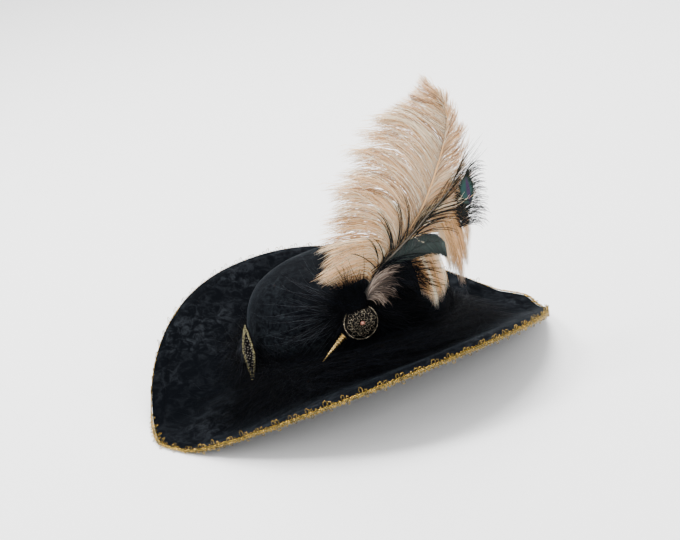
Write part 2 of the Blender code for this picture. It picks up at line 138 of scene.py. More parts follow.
def ring_place(turn):
    return level((CROWN_HALF_WIDTH + GAP) * np.sin(turn), -(CROWN_HALF_LENGTH + GAP) * np.cos(turn))


def rim_place(turn):
    x = BRIM_HALF_WIDTH * signed_power(np.sin(turn), 2.0 / BRIM_SIDE_FULLNESS)
    y = -BRIM_HALF_LENGTH * signed_power(np.cos(turn), 2.0 / BRIM_END_FULLNESS)
    return level(x, y)


def rim_outward(turn):
    along = rim_place(turn + 0.01) - rim_place(turn - 0.01)
    return unit(level(along[..., 1], -along[..., 0]))


def side_share(turn):
    reach = np.abs(rim_place(turn)[..., 0])
    share = np.maximum(0.0, (reach - REST_HALF_WIDTH) / (BRIM_HALF_WIDTH - REST_HALF_WIDTH))
    return share * (1.0 + SIDE_RISE_EASE) / (share + SIDE_RISE_EASE) * share ** SIDE_RISE_CURVE


def ruling_length(turn):
    return np.linalg.norm(rim_place(turn) - ring_place(turn), axis=-1)


def brim_top(turn, distance):
    """Point on the brim's upper face, a level distance out from the head opening."""
    length = ruling_length(turn)
    share = (distance / length)[..., None]
    place = ring_place(turn) * (1.0 - share) + rim_place(turn) * share
    to_hem = np.minimum(1.0, np.maximum(distance, 0.0) / (length - HEM_WIDTH))
    side = side_share(turn)
    bend = side * to_hem ** SWEEP_CURVE + (1.0 - side) * np.sin(to_hem * math.pi / 2.0)
    place[..., 2] = CROWN_FOOT + (SIDE_RISE * side - CROWN_FOOT) * bend + BRIM_WALL
    return place


def rim_walk(count):
    """Turns at equal steps along the rim."""
    fine = np.linspace(0.0, TAU, 4001)
    rim = brim_top(fine, ruling_length(fine))
    length = np.concatenate([[0.0], np.cumsum(np.linalg.norm(np.diff(rim, axis=0), axis=1))])
    return np.interp(np.arange(count) / count * length[-1], length, fine), length[-1]


def braid_frame(turn):
    """Top edge of the braid, its way down and its outward face, all along the rim."""
    outward = rim_outward(turn)
    top = brim_top(turn, ruling_length(turn)) + outward * GAP
    room = (top[..., 2] - GAP) / BRAID_HEIGHT
    steep = (room / (1.0 + room ** 4) ** 0.25)[..., None]
    flat = np.sqrt(1.0 - steep ** 2)
    return top, outward * flat - UP * steep, outward * steep + UP * flat


def ornament_matrix():
    azimuth = ORNAMENT_AZIMUTH
    level_out = Vector((math.sin(azimuth), -math.cos(azimuth), 0.0))
    along = Vector((math.cos(azimuth), math.sin(azimuth), 0.0))
    rise = Vector((0.0, 0.0, 1.0))
    up = rise * math.cos(FEATHER_LEAN) - level_out * math.sin(FEATHER_LEAN)
    out = level_out * math.cos(FEATHER_LEAN) + rise * math.sin(FEATHER_LEAN)
    at = (ORNAMENT_HEIGHT - CROWN_FOOT) / CROWN_HEIGHT
    share = (1.0 - at ** CROWN_SQUARENESS) ** (1.0 / CROWN_SQUARENESS)
    reach = math.hypot(CROWN_HALF_WIDTH * level_out.x, CROWN_HALF_LENGTH * level_out.y)
    x = CROWN_HALF_WIDTH ** 2 * level_out.x / reach * share
    y = CROWN_HALF_LENGTH ** 2 * level_out.y / reach * share
    origin = Vector((x, y, ORNAMENT_HEIGHT)) + level_out * ORNAMENT_STAND_OFF
    return Matrix.Translation(origin) @ Matrix((along, up, out)).transposed().to_4x4()


ORNAMENT = np.array(ornament_matrix())


def on_hat(points):
    """Points of the ornament frame (towards the back, up, out), in mm, as places on the hat."""
    return np.asarray(points, float) * MM @ ORNAMENT[:3, :3].T + ORNAMENT[:3, 3]


def badge_matrix():
    middle = Vector((BADGE_SHIFT, -(CROWN_HALF_LENGTH + GAP + BADGE_STAND), BADGE_LENGTH / 2.0 + CROWN_FOOT))
    turn = Matrix.Rotation(-BADGE_TILT, 4, "X") @ Matrix.Rotation(-BADGE_LEAN, 4, "Y")
    return Matrix.Translation(middle) @ turn


# Node and material helpers.

def add_node(tree, kind, inputs=None, **settings):
    """A node with its settings, and its inputs given as values or as other nodes' outputs."""
    node = tree.nodes.new(kind)
    for name, value in settings.items():
        setattr(node, name, value)
    for name, value in (inputs or {}).items():
        if isinstance(value, bpy.types.NodeSocket):
            tree.links.new(value, node.inputs[name])
        else:
            node.inputs[name].default_value = value
    return node


def mixed(tree, factor, first, second, blend="MIX"):
    inputs = {0: factor, 6: first, 7: second}
    return add_node(tree, "ShaderNodeMix", inputs, data_type="RGBA", blend_type=blend).outputs[2]


def ranged(tree, value, low, high, to_low, to_high):
    names = {"Value": value, "From Min": low, "From Max": high, "To Min": to_low, "To Max": to_high}
    return add_node(tree, "ShaderNodeMapRange", names).outputs[0]


def maths(tree, operation, first, second=0.0):
    return add_node(tree, "ShaderNodeMath", {0: first, 1: second}, operation=operation).outputs[0]


def hypotenuse(tree, x, y):
    squares = [maths(tree, "MULTIPLY", side, side) for side in (x, y)]
    return maths(tree, "SQRT", maths(tree, "ADD", *squares))


def ramp(tree, factor, stops):
    """Colours at places along a ramp."""
    node = add_node(tree, "ShaderNodeValToRGB", {"Fac": factor})
    elements = node.color_ramp.elements
    while len(elements) < len(stops):
        elements.new(0.5)
    for element, (place, color) in zip(elements, stops):
        element.position = place
        element.color = (*color, 1.0)
    return node.outputs["Color"]


def noise_node(tree, coords, scale, detail, distortion=0.0, roughness=0.5):
    inputs = {"Vector": coords, "Scale": scale, "Detail": detail, "Distortion": distortion,
              "Roughness": roughness}
    return add_node(tree, "ShaderNodeTexNoise", inputs).outputs["Fac"]


def new_group(name, inputs, outputs):
    group = bpy.data.node_groups.new(name, "ShaderNodeTree")
    for socket, kind, value in inputs:
        item = group.interface.new_socket(socket, in_out="INPUT", socket_type=kind)
        if value is not None:
            item.default_value = value
    for socket, kind in outputs:
        group.interface.new_socket(socket, in_out="OUTPUT", socket_type=kind)
    start = group.nodes.new("NodeGroupInput")
    end = group.nodes.new("NodeGroupOutput")
    return group, start.outputs, end.inputs


def finish_group(group, ends, results):
    for name, socket in results.items():
        group.links.new(socket, ends[name])
    return group


FLOAT = "NodeSocketFloat"
COLOR = "NodeSocketColor"
VECTOR = "NodeSocketVector"


def crushed_nap_group():
    """Pile pressed this way and that in blotches: how light it looks, and its height."""
    group, start, end = new_group(
        "crushed_nap",
        [("Vector", VECTOR, None), ("Blotch", FLOAT, 70.0), ("Edge", FLOAT, 0.42), ("Pile", FLOAT, 1600.0)],
        [("Nap", FLOAT), ("Height", FLOAT)],
    )
    blotch = noise_node(group, start["Vector"], start["Blotch"], 9.0, 0.8, 0.74)
    patches = ranged(group, blotch, start["Edge"], 0.60, 0.0, 1.0)
    wide = noise_node(group, start["Vector"], 13.0, 2.0, 0.4)
    broad = ranged(group, wide, 0.38, 0.62, 0.25, 1.0)
    pile = noise_node(group, start["Vector"], start["Pile"], 2.0)
    speckle = ranged(group, pile, 0.3, 0.7, 0.75, 1.25)
    nap = maths(group, "MULTIPLY", maths(group, "MULTIPLY", patches, broad), speckle)
    height = maths(group, "ADD", blotch, maths(group, "MULTIPLY", pile, 0.12))
    return finish_group(group, end, {"Nap": nap, "Height": height})


def barb_tone_group():
    """Colour of a feather's strand: tone by strand, darker at the root, paler at the tip."""
    group, start, end = new_group(
        "barb_tone",
        [("UV", VECTOR, None), ("Deep", COLOR, None), ("Middle", COLOR, None), ("Pale", COLOR, None),
         ("Root Shade", FLOAT, 0.6)],
        [("Color", COLOR), ("Along", FLOAT), ("Height", FLOAT)],
    )
    split = add_node(group, "ShaderNodeSeparateXYZ", {0: start["UV"]})
    tone = split.outputs["Y"]
    low = mixed(group, ranged(group, tone, 0.0, 0.5, 0.0, 1.0), start["Deep"], start["Middle"])
    full = mixed(group, ranged(group, tone, 0.5, 1.0, 0.0, 1.0), low, start["Pale"])
    root = ranged(group, split.outputs["X"], 0.0, 0.45, start["Root Shade"], 1.0)
    shade = add_node(group, "ShaderNodeCombineXYZ", {0: root, 1: root, 2: root}).outputs[0]
    color = mixed(group, 1.0, full, shade, "MULTIPLY")
    barbules = add_node(group, "ShaderNodeTexWave", {"Vector": start["UV"], "Scale": 40.0, "Distortion": 2.0})
    results = {"Color": color, "Along": split.outputs["X"], "Height": barbules.outputs["Fac"]}
    return finish_group(group, end, results)


def thread_twist_group():
    """Plies of a twisted thread: a mask that is dark between the plies, where shade is painted, and their
    height.
    """
    group, start, end = new_group(
        "thread_twist",
        [("UV", VECTOR, None), ("Plies", FLOAT, 3.0)],
        [("Ply Shade Mask", FLOAT), ("Height", FLOAT)],
    )
    split = add_node(group, "ShaderNodeSeparateXYZ", {0: start["UV"]})
    slope = maths(group, "MULTIPLY", maths(group, "ADD", split.outputs["X"], split.outputs["Y"]), TAU)
    wave = maths(group, "SINE", maths(group, "MULTIPLY", slope, start["Plies"]))
    ply = ranged(group, wave, -0.9, 0.55, 0.0, 1.0)
    return finish_group(group, end, {"Ply Shade Mask": ply, "Height": wave})


def aged_metal_group():
    """Tarnish in patches and fine pits."""
    group, start, end = new_group(
        "aged_metal",
        [("Vector", VECTOR, None), ("Patch", FLOAT, 400.0)],
        [("Tarnish", FLOAT), ("Height", FLOAT)],
    )
    patch = noise_node(group, start["Vector"], start["Patch"], 6.0, 0.6)
    pits = noise_node(group, start["Vector"], maths(group, "MULTIPLY", start["Patch"], 6.0), 3.0)
    tarnish = ranged(group, patch, 0.45, 0.68, 0.0, 1.0)
    return finish_group(group, end, {"Tarnish": tarnish, "Height": pits})


def new_material(name, **sockets):
    """A Principled material; each setting names a socket, with _ for a space."""
    material = bpy.data.materials.new(name)
    material.use_nodes = True
    shader = material.node_tree.nodes["Principled BSDF"]
    for socket, value in sockets.items():
        shader.inputs[socket.replace("_", " ")].default_value = value
    return material, material.node_tree, shader


def feed(tree, shader, **sockets):
    for socket, output in sockets.items():
        tree.links.new(output, shader.inputs[socket.replace("_", " ")])


def bump(tree, height, strength, distance):
    inputs = {"Height": height, "Strength": strength, "Distance": distance}
    return add_node(tree, "ShaderNodeBump", inputs).outputs[0]


def coords_of(tree, kind):
    return add_node(tree, "ShaderNodeTexCoord").outputs[kind]


def grouped(tree, group, **inputs):
    """The outputs of a node group placed in a material; each input names a socket, with _ for a space."""
    named = {name.replace("_", " "): value for name, value in inputs.items()}
    return add_node(tree, "ShaderNodeGroup", named, node_tree=group).outputs


NAP = crushed_nap_group()
BARB = barb_tone_group()
TWIST = thread_twist_group()
AGED = aged_metal_group()
THREAD_SHADE_PATCH = 0.16                       # how light a thread stays in its random dark patches of painted shade


def velvet_material(name, deep, light, blotch, edge):
    material, tree, shader = new_material(
        name, Roughness=0.95, Specular_IOR_Level=0.04, Sheen_Weight=0.03, Sheen_Roughness=0.35,
        Sheen_Tint=(0.45, 0.62, 0.80, 1.0))
    nap = grouped(tree, NAP, Vector=coords_of(tree, "Object"), Blotch=blotch, Edge=edge)
    color = mixed(tree, nap["Nap"], (*deep, 1.0), (*light, 1.0))
    feed(tree, shader, Base_Color=color, Normal=bump(tree, nap["Height"], 0.35, 0.8 * MM),
         Roughness=ranged(tree, nap["Nap"], 0.0, 1.0, 1.0, 0.75))
    return material


def thread_material(name, color, gap_shade, plies, metallic=1.0, roughness=0.3, **sockets):
    material, tree, shader = new_material(name, Metallic=metallic, Roughness=roughness, **sockets)
    twist = grouped(tree, TWIST, UV=coords_of(tree, "UV"), Plies=plies)
    # Random dark patches of painted shade, for the shade among the threads; the same noise varies the
    # roughness.
    patches = noise_node(tree, coords_of(tree, "Object"), 420.0, 4.0)
    shade_patch = ranged(tree, patches, 0.42, 0.58, 0.0, 1.0)
    patch_shaded = mixed(tree, shade_patch, (*color, 1.0), (*[part * THREAD_SHADE_PATCH for part in color], 1.0))
    # Painted shade: the thread's dark colour fills the gaps between its plies.
    shaded = mixed(tree, twist["Ply Shade Mask"], (*gap_shade, 1.0), patch_shaded)
    feed(tree, shader, Base_Color=shaded, Normal=bump(tree, twist["Height"], 0.6, 0.15 * MM),
         Roughness=ranged(tree, patches, 0.3, 0.7, roughness - 0.06, roughness + 0.14))
    return material


def barb_material(name, deep, middle, pale, root_shade, sheen=0.2, roughness=0.7, **sockets):
    material, tree, shader = new_material(
        name, Roughness=roughness, Sheen_Weight=sheen, Sheen_Roughness=0.4, **sockets)
    tone = grouped(tree, BARB, UV=coords_of(tree, "UV"), Deep=(*deep, 1.0), Middle=(*middle, 1.0),
                   Pale=(*pale, 1.0), Root_Shade=root_shade)
    feed(tree, shader, Base_Color=tone["Color"], Normal=bump(tree, tone["Height"], 0.3, 0.1 * MM),
         Roughness=ranged(tree, tone["Along"], 0.0, 1.0, roughness, roughness + 0.15))
    return material


def metal_material(name, bright, tarnished, roughness, patch):
    material, tree, shader = new_material(name, Metallic=1.0)
    aged = grouped(tree, AGED, Vector=coords_of(tree, "Object"), Patch=patch)
    color = mixed(tree, aged["Tarnish"], (*bright, 1.0), (*tarnished, 1.0))
    feed(tree, shader, Base_Color=color, Normal=bump(tree, aged["Height"], 0.25, 0.1 * MM),
         Roughness=ranged(tree, aged["Tarnish"], 0.0, 1.0, roughness, roughness + 0.3))
    return material


# Mesh helpers.

def only(obj):
    bpy.ops.object.select_all(action="DESELECT")
    obj.select_set(True)
    bpy.context.view_layer.objects.active = obj


def apply_modifier(obj, kind, **settings):
    only(obj)
    modifier = obj.modifiers.new(kind.lower(), kind)
    for name, value in settings.items():
        setattr(modifier, name, value)
    bpy.ops.object.modifier_apply(modifier=modifier.name)


def dress(piece, material, slot, *nodes):
    """Gives a piece its material and hides the CAD nodes that it stands for; slot is not used."""
    piece.data.materials.clear()
    piece.data.materials.append(material)
    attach(piece, "root")
    if nodes:
        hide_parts(*nodes)
    return piece


def bent_grid(name, columns, rows, place, faces_out):
    """A grid whose points go to place(u, v), with its seam merged; faces_out tells which way is out."""
    bpy.ops.object.select_all(action="DESELECT")
    bpy.ops.mesh.primitive_grid_add(x_subdivisions=columns, y_subdivisions=rows, size=1.0)
    sheet = bpy.context.active_object
    sheet.name = name
    sheet.data.name = name
    flat = np.empty(len(sheet.data.vertices) * 3)
    sheet.data.vertices.foreach_get("co", flat)
    flat = flat.reshape(-1, 3) + 0.5
    sheet.data.vertices.foreach_set("co", place(flat[:, 0], flat[:, 1]).ravel())
    sheet.data.update()
    bpy.ops.object.mode_set(mode="EDIT")
    bpy.ops.mesh.select_all(action="SELECT")
    bpy.ops.mesh.remove_doubles(threshold=1e-6)
    bpy.ops.object.mode_set(mode="OBJECT")
    if sum(face.area * faces_out(face.center).dot(face.normal) for face in sheet.data.polygons) < 0.0:
        bpy.ops.object.mode_set(mode="EDIT")
        bpy.ops.mesh.select_all(action="SELECT")
        bpy.ops.mesh.flip_normals()
        bpy.ops.object.mode_set(mode="OBJECT")
    bpy.ops.object.shade_smooth()
    return sheet


def new_piece(name, points, faces):
    mesh = bpy.data.meshes.new(name)
    mesh.from_pydata(np.reshape(points, (-1, 3)).tolist(), [], faces)
    mesh.shade_smooth()
    piece = bpy.data.objects.new(name, mesh)
    bpy.context.scene.collection.objects.link(piece)
    return piece


def tube_mesh(name, routes, radii, tones=None, sides=3, closed=False, facing=None, lay=None):
    """Fine tubes as one mesh; open ones end in a point.

    The UV map runs along each tube in U. V is the tube's tone, or runs round a tube without one.
    facing is a direction across each tube, and lay the length of one twist along it.
    """
    routes = np.asarray(routes, float)
    count, steps = routes.shape[:2]
    radii = np.broadcast_to(radii, (count, steps))
    if closed:
        tangents = unit(np.roll(routes, -1, axis=1) - np.roll(routes, 1, axis=1))
    else:
        tangents = unit(np.gradient(routes, axis=1))
    if facing is None:
        chord = np.abs(routes[:, -1:] - routes[:, :1])
        facing = np.eye(3)[chord.argmin(axis=2)]
    first = unit(np.cross(tangents, np.broadcast_to(facing, routes.shape)))
    second = np.cross(tangents, first)
    angles = TAU * np.arange(sides) / sides
    ring = first[:, :, None] * np.cos(angles)[:, None] + second[:, :, None] * np.sin(angles)[:, None]
    rings = routes[:, :, None] + ring * radii[..., None, None]
    full = steps if closed else steps - 1
    block = full * sides + (0 if closed else 1)
    points = rings[:, :full].reshape(count, -1, 3)
    if not closed:
        points = np.concatenate([points, routes[:, -1:]], axis=1)
    spans = full if closed else full - 1
    along = np.arange(spans)
    around = np.arange(sides)
    a, s = [grid.ravel() for grid in np.meshgrid(along, around, indexing="ij")]
    b, t = (a + 1) % full, (s + 1) % sides
    quads = np.stack([a * sides + s, a * sides + t, b * sides + t, b * sides + s], axis=1)
    corner_along = np.stack([a, a, a + 1, a + 1], axis=1)
    corner_around = np.stack([s, s + 1, s + 1, s], axis=1) / sides
    starts = (np.arange(count) * block)[:, None, None]
    faces = (quads[None] + starts).reshape(-1, 4).tolist()
    lengths = np.cumsum(np.linalg.norm(np.diff(routes, axis=1), axis=2), axis=1)
    walk = np.concatenate([np.zeros((count, 1)), lengths], axis=1)
    walk = walk / lay if lay else walk / walk[:, -1:]
    if closed:
        walk = np.concatenate([walk, walk[:, -1:] + walk[:, 1:2]], axis=1)

    def uv_of(u, untoned=0.5):
        v = untoned if tones is None else np.reshape(tones, (count,) + (1,) * (u.ndim - 1))
        return np.stack([u, np.broadcast_to(v, u.shape)], axis=-1).reshape(-1, 2)

    uv = [uv_of(walk[:, corner_along], corner_around)]
    if not closed:
        last = (full - 1) * sides
        tips = np.stack([last + around, last + (around + 1) % sides, np.full(sides, full * sides)], axis=1)
        faces += (tips[None] + starts).reshape(-1, 3).tolist()
        caps = around[::-1][None] + (np.arange(count) * block)[:, None]
        faces += caps.tolist()
        uv.append(uv_of(np.broadcast_to(walk[:, [full - 1, full - 1, full]][:, None], (count, sides, 3))))
        uv.append(uv_of(np.zeros((count, sides))))
    piece = new_piece(name, points, faces)
    layer = piece.data.uv_layers.new(name="strands")
    layer.uv.foreach_set("vector", np.concatenate(uv).astype(np.float32).ravel())
    return piece


def sweep(roots, leave, arrive, tips, steps):
    """Curves from roots to tips; leave and arrive are the pulls on them at the two ends."""
    t = np.linspace(0.0, 1.0, steps)[None, :, None]
    first, last = roots[:, None], tips[:, None]
    pulled, pulling = first + leave[:, None], last - arrive[:, None]
    near, far = 3 * (1 - t) ** 2 * t, 3 * (1 - t) * t ** 2
    return (1 - t) ** 3 * first + near * pulled + far * pulling + t ** 3 * last


def tapered(count, steps, root, tip):
    return np.broadcast_to(np.linspace(root, tip, steps), (count, steps))


def within(rng, count, *ranges):
    """Random points in a box of the ornament frame."""
    return np.stack([rng.uniform(low, high, count) for low, high in ranges], axis=1)


def strand_mesh(name, curve, steps, thick, thin, tones):
    """Tapering strands in the ornament frame; curve holds their roots, leave, arrive and tips."""
    return tube_mesh(name, on_hat(sweep(*curve, steps)), tapered(len(curve[0]), steps, thick, thin), tones)


def between_rows(rows, at, out):
    """Places between listed points, where at counts the points, all at one height off the hat."""
    steps = np.arange(len(rows))
    at = np.clip(at, 0.0, steps[-1])
    place = [np.interp(at, steps, rows[:, axis]) for axis in range(2)]
    return np.stack([*place, np.full_like(at, out)], axis=-1) + FOOT


def headings(degrees, length, out=0.0):
    """Directions in the ornament frame, from degrees above the way towards the back."""
    angle = np.radians(degrees)
    outs = np.broadcast_to(out, angle.shape)
    return np.stack([length * np.cos(angle), length * np.sin(angle), outs], axis=-1)


# Velvet crown and brim.

crown_velvet = velvet_material("crown_velvet", (0.0005, 0.0008, 0.0015), (0.0056, 0.0076, 0.0096),
                               blotch=150.0, edge=0.42)
brim_velvet = velvet_material("brim_velvet", (0.0004, 0.0008, 0.0016), (0.0076, 0.0092, 0.0116),
                              blotch=85.0, edge=0.47)


def soft_noise(points, scale, seed=0.0):
    shift = Vector((seed, seed, seed))
    return np.array([noise.noise(Vector(point) * scale + shift) for point in points])


def crown_cloth(u, v):
    turn = u * TAU
    lift = v ** 1.9 / (v ** 1.9 + (1.0 - v) ** 1.9)
    place = crown_place(turn, lift)
    away = unit(place - np.array([0.0, 0.0, CROWN_FOOT + 0.3 * CROWN_HEIGHT]))
    fade = np.clip(v * 6.0, 0.0, 1.0)
    dents = soft_noise(place, 22.0, 3.0) * 1.0 * MM + soft_noise(place, 60.0, 7.0) * 0.35 * MM
    return place + away * (fade * dents)[:, None]


crown = bent_grid("crown_velvet_shell", 180, 56, crown_cloth,
                  lambda c: c - Vector((0.0, 0.0, CROWN_FOOT + 0.2 * CROWN_HEIGHT)))
apply_modifier(crown, "SOLIDIFY", thickness=CROWN_WALL, offset=-1.0, use_even_offset=True)
dress(crown, crown_velvet, "crown_velvet", "crown")

SEAM_SHARE = 0.72                        # of the brim's rows, out to the hem's seam


def hem_distance(turn, v):
    to_seam = ruling_length(turn) - HEM_WIDTH
    inner = to_seam * np.minimum(v / SEAM_SHARE, 1.0)
    return inner + HEM_WIDTH * np.clip((v - SEAM_SHARE) / (1.0 - SEAM_SHARE), 0.0, 1.0)


def brim_cloth(u, v):
    turn = u * TAU
    distance = hem_distance(turn, v)
    place = brim_top(turn, distance)
    past_seam = distance - (ruling_length(turn) - HEM_WIDTH)
    groove = -0.7 * MM * np.exp(-(past_seam / (1.2 * MM)) ** 2)
    hem = 0.35 * MM * np.sin(np.clip(past_seam / HEM_WIDTH, 0.0, 1.0) * math.pi)
    pucker = 0.35 * MM * soft_noise(place, 110.0, 5.0) * np.exp(-(past_seam / (9.0 * MM)) ** 2)
    clear_of_ground = np.clip(side_share(turn) * 4.0, 0.0, 1.0) * np.clip(v * 5.0, 0.0, 1.0)
    waves = (1.1 * MM * soft_noise(place, 18.0, 11.0) + 0.3 * MM * soft_noise(place, 55.0, 2.0))
    inner_waves = waves * np.clip(-past_seam / (25.0 * MM), 0.0, 1.0)
    place[:, 2] += groove + hem + pucker + inner_waves * (0.3 + 0.7 * clear_of_ground)
    return place


brim = bent_grid("brim_velvet_sheet", 400, 36, brim_cloth, lambda c: Vector((0.0, 0.0, 1.0)))
apply_modifier(brim, "SOLIDIFY", thickness=BRIM_WALL - 0.2 * MM, offset=-1.0)
apply_modifier(brim, "BEVEL", width=0.7 * MM, segments=2, limit_method="ANGLE",
               angle_limit=math.radians(50.0))
dress(brim, brim_velvet, "brim_velvet", "brim")

# The second colour is painted shade for the gaps between the plies.
black_thread = thread_material("black_thread", (0.0012, 0.0015, 0.002), (0.0005, 0.0005, 0.0008), plies=3.0,
                               metallic=0.0, roughness=0.8, Specular_IOR_Level=0.05)

STITCH_COUNT = 260
STITCH_TURN = 0.016                      # of each stitch round the hat, in radians
seam_turns, _ = rim_walk(STITCH_COUNT)
stitch_span = np.linspace(-0.5, 0.5, 6)
stitch_turns = seam_turns[:, None] + stitch_span[None] * STITCH_TURN
stitch_places = brim_top(stitch_turns, ruling_length(stitch_turns) - HEM_WIDTH)
stitch_places[..., 2] += (np.cos(stitch_span * math.pi) * 0.4 - 1.1) * MM
stitches = tube_mesh("hem_stitches", stitch_places, 0.28 * MM, sides=5, facing=UP, lay=0.8 * MM)
dress(stitches, black_thread, "brim_velvet")

# Gold braid: a flat plait with an edging cord and loops along both sides.

# The second colour is painted shade for the gaps between the plies.
gold_thread = thread_material("gold_thread", (0.80, 0.53, 0.12), (0.010, 0.005, 0.001), plies=1.0,
                              roughness=0.22)

PLAIT_PITCH = 8.0 * MM
EDGE_TOP = 0.6 * MM                      # its upper edging cord, below the rim's top
EDGE_FOOT = 3.4 * MM                     # its lower edging cord


def squeezed(down):
    """How wide the braid lies: narrower where it turns out along the ground."""
    return 1.0 - 0.38 * np.linalg.norm(level(down[:, 0], down[:, 1]), axis=1)


turns, rim_length = rim_walk(1800)
top, down, across = braid_frame(turns)
plaits = round(rim_length / PLAIT_PITCH)
phase = TAU * plaits * np.arange(len(turns)) / len(turns)
squeeze = squeezed(down)
plait_routes = []
for strand in range(3):
    angle = phase + strand * TAU / 3.0
    low = (2.0 * MM + 1.1 * MM * np.sin(angle)) * squeeze
    out = 0.42 * MM + 0.28 * MM * np.sin(2.0 * angle)
    plait_routes.append(top + down * low[:, None] + across * out[:, None])
plait = tube_mesh("gold_braid_plait", plait_routes, 0.40 * MM, sides=4, closed=True, facing=UP, lay=2.4 * MM)
dress(plait, gold_thread, "gold_braid", "gold_braid")

edge_routes = []
for low, wave in ((EDGE_TOP, 0.0), (EDGE_FOOT, math.pi)):
    low = low * squeeze + 0.35 * MM * np.sin(3.0 * phase + wave)
    out = 0.2 * MM + 0.12 * MM * np.sin(2.0 * phase + wave)
    edge_routes.append(top + down * low[:, None] + across * out[:, None])
edging = tube_mesh("gold_braid_edging", edge_routes, 0.32 * MM, sides=4, closed=True, facing=UP, lay=2.0 * MM)
dress(edging, gold_thread, "gold_braid")

rng = np.random.default_rng(41)
LOOP_PITCH = 4.3 * MM
loop_count = round(rim_length / LOOP_PITCH / 4) * 4
loop_turns, _ = rim_walk(loop_count)
loop_top, loop_down, loop_across = braid_frame(loop_turns)
loop_along = unit(np.cross(loop_down, loop_across))
loop_routes = []
round_the_loop = np.linspace(-0.9, 0.9, 11) * math.pi
for side, edge, heights in ((-1.0, EDGE_TOP, (4.6, 3.4, 1.3, 1.2)), (1.0, EDGE_FOOT, (1.2, 2.8, 0.9, 1.9))):
    height = np.resize(heights, loop_count) * MM * rng.uniform(0.7, 1.3, loop_count)
    width = np.minimum(height * 0.85, 3.1 * MM) * rng.uniform(0.85, 1.2, loop_count)
    base = loop_top + loop_down * edge * squeezed(loop_down)[:, None]
    base = base + loop_across * 0.25 * MM
    lean = rng.normal(0.0, 0.25, loop_count)[:, None]
    lift = rng.normal(0.05, 0.22, loop_count)[:, None]
    tip = side * loop_down + loop_across * lift + loop_along * lean
    sideways = np.sin(round_the_loop)[None, :, None] * (width / 2.0)[:, None, None] * loop_along[:, None]
    rise = (1.0 + np.cos(round_the_loop))[None, :, None] * (height / 2.0)[:, None, None] * tip[:, None]
    loop_routes.append(base[:, None] + sideways + rise)
loop_facing = np.concatenate([loop_across, loop_across])[:, None]
loops = tube_mesh("gold_braid_loops", np.concatenate(loop_routes), 0.30 * MM, sides=4, facing=loop_facing,
                  lay=1.6 * MM)
dress(loops, gold_thread, "gold_braid")

# Fluffy black band round the crown's foot.

black_down = barb_material("black_down", (0.0001, 0.0002, 0.0005), (0.0004, 0.0006, 0.0012),
                           (0.0060, 0.0076, 0.0120), 0.5, 0.0, 0.55, Specular_IOR_Level=0.06)

DOWN_RADIUS = 0.17 * MM
BAND_THICKNESS = 18.0 * MM
BAND_MIDDLE = BAND_THICKNESS * 0.46      # out from the head opening
BAND_HEIGHT = 24.0 * MM
BAND_REACH = 100.0 * MM                  # about how far it lies from the hat's middle


def band_press(turn):
    """How far the badge leaves the band standing out: 1 away from the front."""
    from_front = (np.mod(turn + math.pi, TAU) - math.pi) * CROWN_HALF_WIDTH
    return 1.0 - 0.6 * np.exp(-(from_front / BADGE_WIDTH) ** 2)


def band_core(u, v):
    turn = u * TAU
    angle = (v - 0.5) * TAU
    reach = BAND_THICKNESS * 0.34 * band_press(turn)
    distance = BAND_MIDDLE * band_press(turn) + reach * np.cos(angle)
    lift = BAND_HEIGHT * (0.36 + 0.26 * np.sin(angle))
    place = brim_top(turn, distance)
    place[:, 2] += lift
    lumps = soft_noise(place, 150.0, 9.0) * 1.8 * MM
    away = level(np.sin(turn), -np.cos(turn)) * np.cos(angle)[:, None] + UP * np.sin(angle)[:, None]
    return place + away * lumps[:, None]


def from_band_middle(place):
    turn = np.array([math.atan2(place.x / CROWN_HALF_WIDTH, -place.y / CROWN_HALF_LENGTH)])
    below = brim_top(turn, np.array([BAND_MIDDLE]))[0]
    return place - Vector(below) - Vector((0.0, 0.0, BAND_HEIGHT * 0.46))


core = bent_grid("marabou_band_core", 260, 16, band_core, from_band_middle)
dress(core, black_down, "black_marabou", "marabou_band")


def band_strands(name, seed, count, low_turn, high_turn, short, long):
    """Down that leaves the band and lies out over the brim."""
    rng = np.random.default_rng(seed)
    steps = 6
    s = np.linspace(0.0, 1.0, steps)[None]
    turn = rng.uniform(low_turn, high_turn, count)[:, None]
    length = rng.uniform(short, long, count)[:, None] * (0.55 + 0.45 * band_press(turn))
    climb = rng.beta(1.3, 1.6, count)[:, None] * math.radians(105.0)
    start = rng.uniform(0.15, 0.9, count)[:, None] * BAND_THICKNESS * band_press(turn)
    lean = rng.normal(0.0, 0.7, count)[:, None]
    curl = rng.uniform(0.0, TAU, count)[:, None]
    outward = length * (s * np.cos(climb) + 0.16 * s * s)
    lift = length * (s * np.sin(climb) - 0.62 * s * s * np.sin(climb) ** 0.5)
    sideways = length * (lean * s * 0.6 + 0.3 * lean * s * s + 0.05 * np.sin(curl + s * 5.0))
    distance = np.clip(start + outward, 0.8 * MM, None)
    distance = np.minimum(distance, ruling_length(turn + 0.0 * s) - 2.0 * MM)
    place = brim_top(turn + sideways / BAND_REACH, distance)
    base_lift = rng.uniform(0.1, 0.85, count)[:, None] * BAND_HEIGHT * (1.0 - 0.3 * s)
    place[..., 2] += np.maximum(base_lift * (1.0 - s) ** 1.5 + lift, 0.7 * MM)
    return tube_mesh(name, place, tapered(count, steps, DOWN_RADIUS, DOWN_RADIUS * 0.4),
                     rng.uniform(0.0, 1.0, count))


for out_down in (("marabou_left_front", 1, 2600, 0.25, 1.45, 28.0 * MM, 80.0 * MM),
                 ("marabou_left_back", 2, 2200, 1.45, 2.9, 24.0 * MM, 62.0 * MM),
                 ("marabou_right", 3, 1700, 2.9, TAU + 0.25, 14.0 * MM, 34.0 * MM)):
    dress(band_strands(*out_down), black_down, "black_marabou")


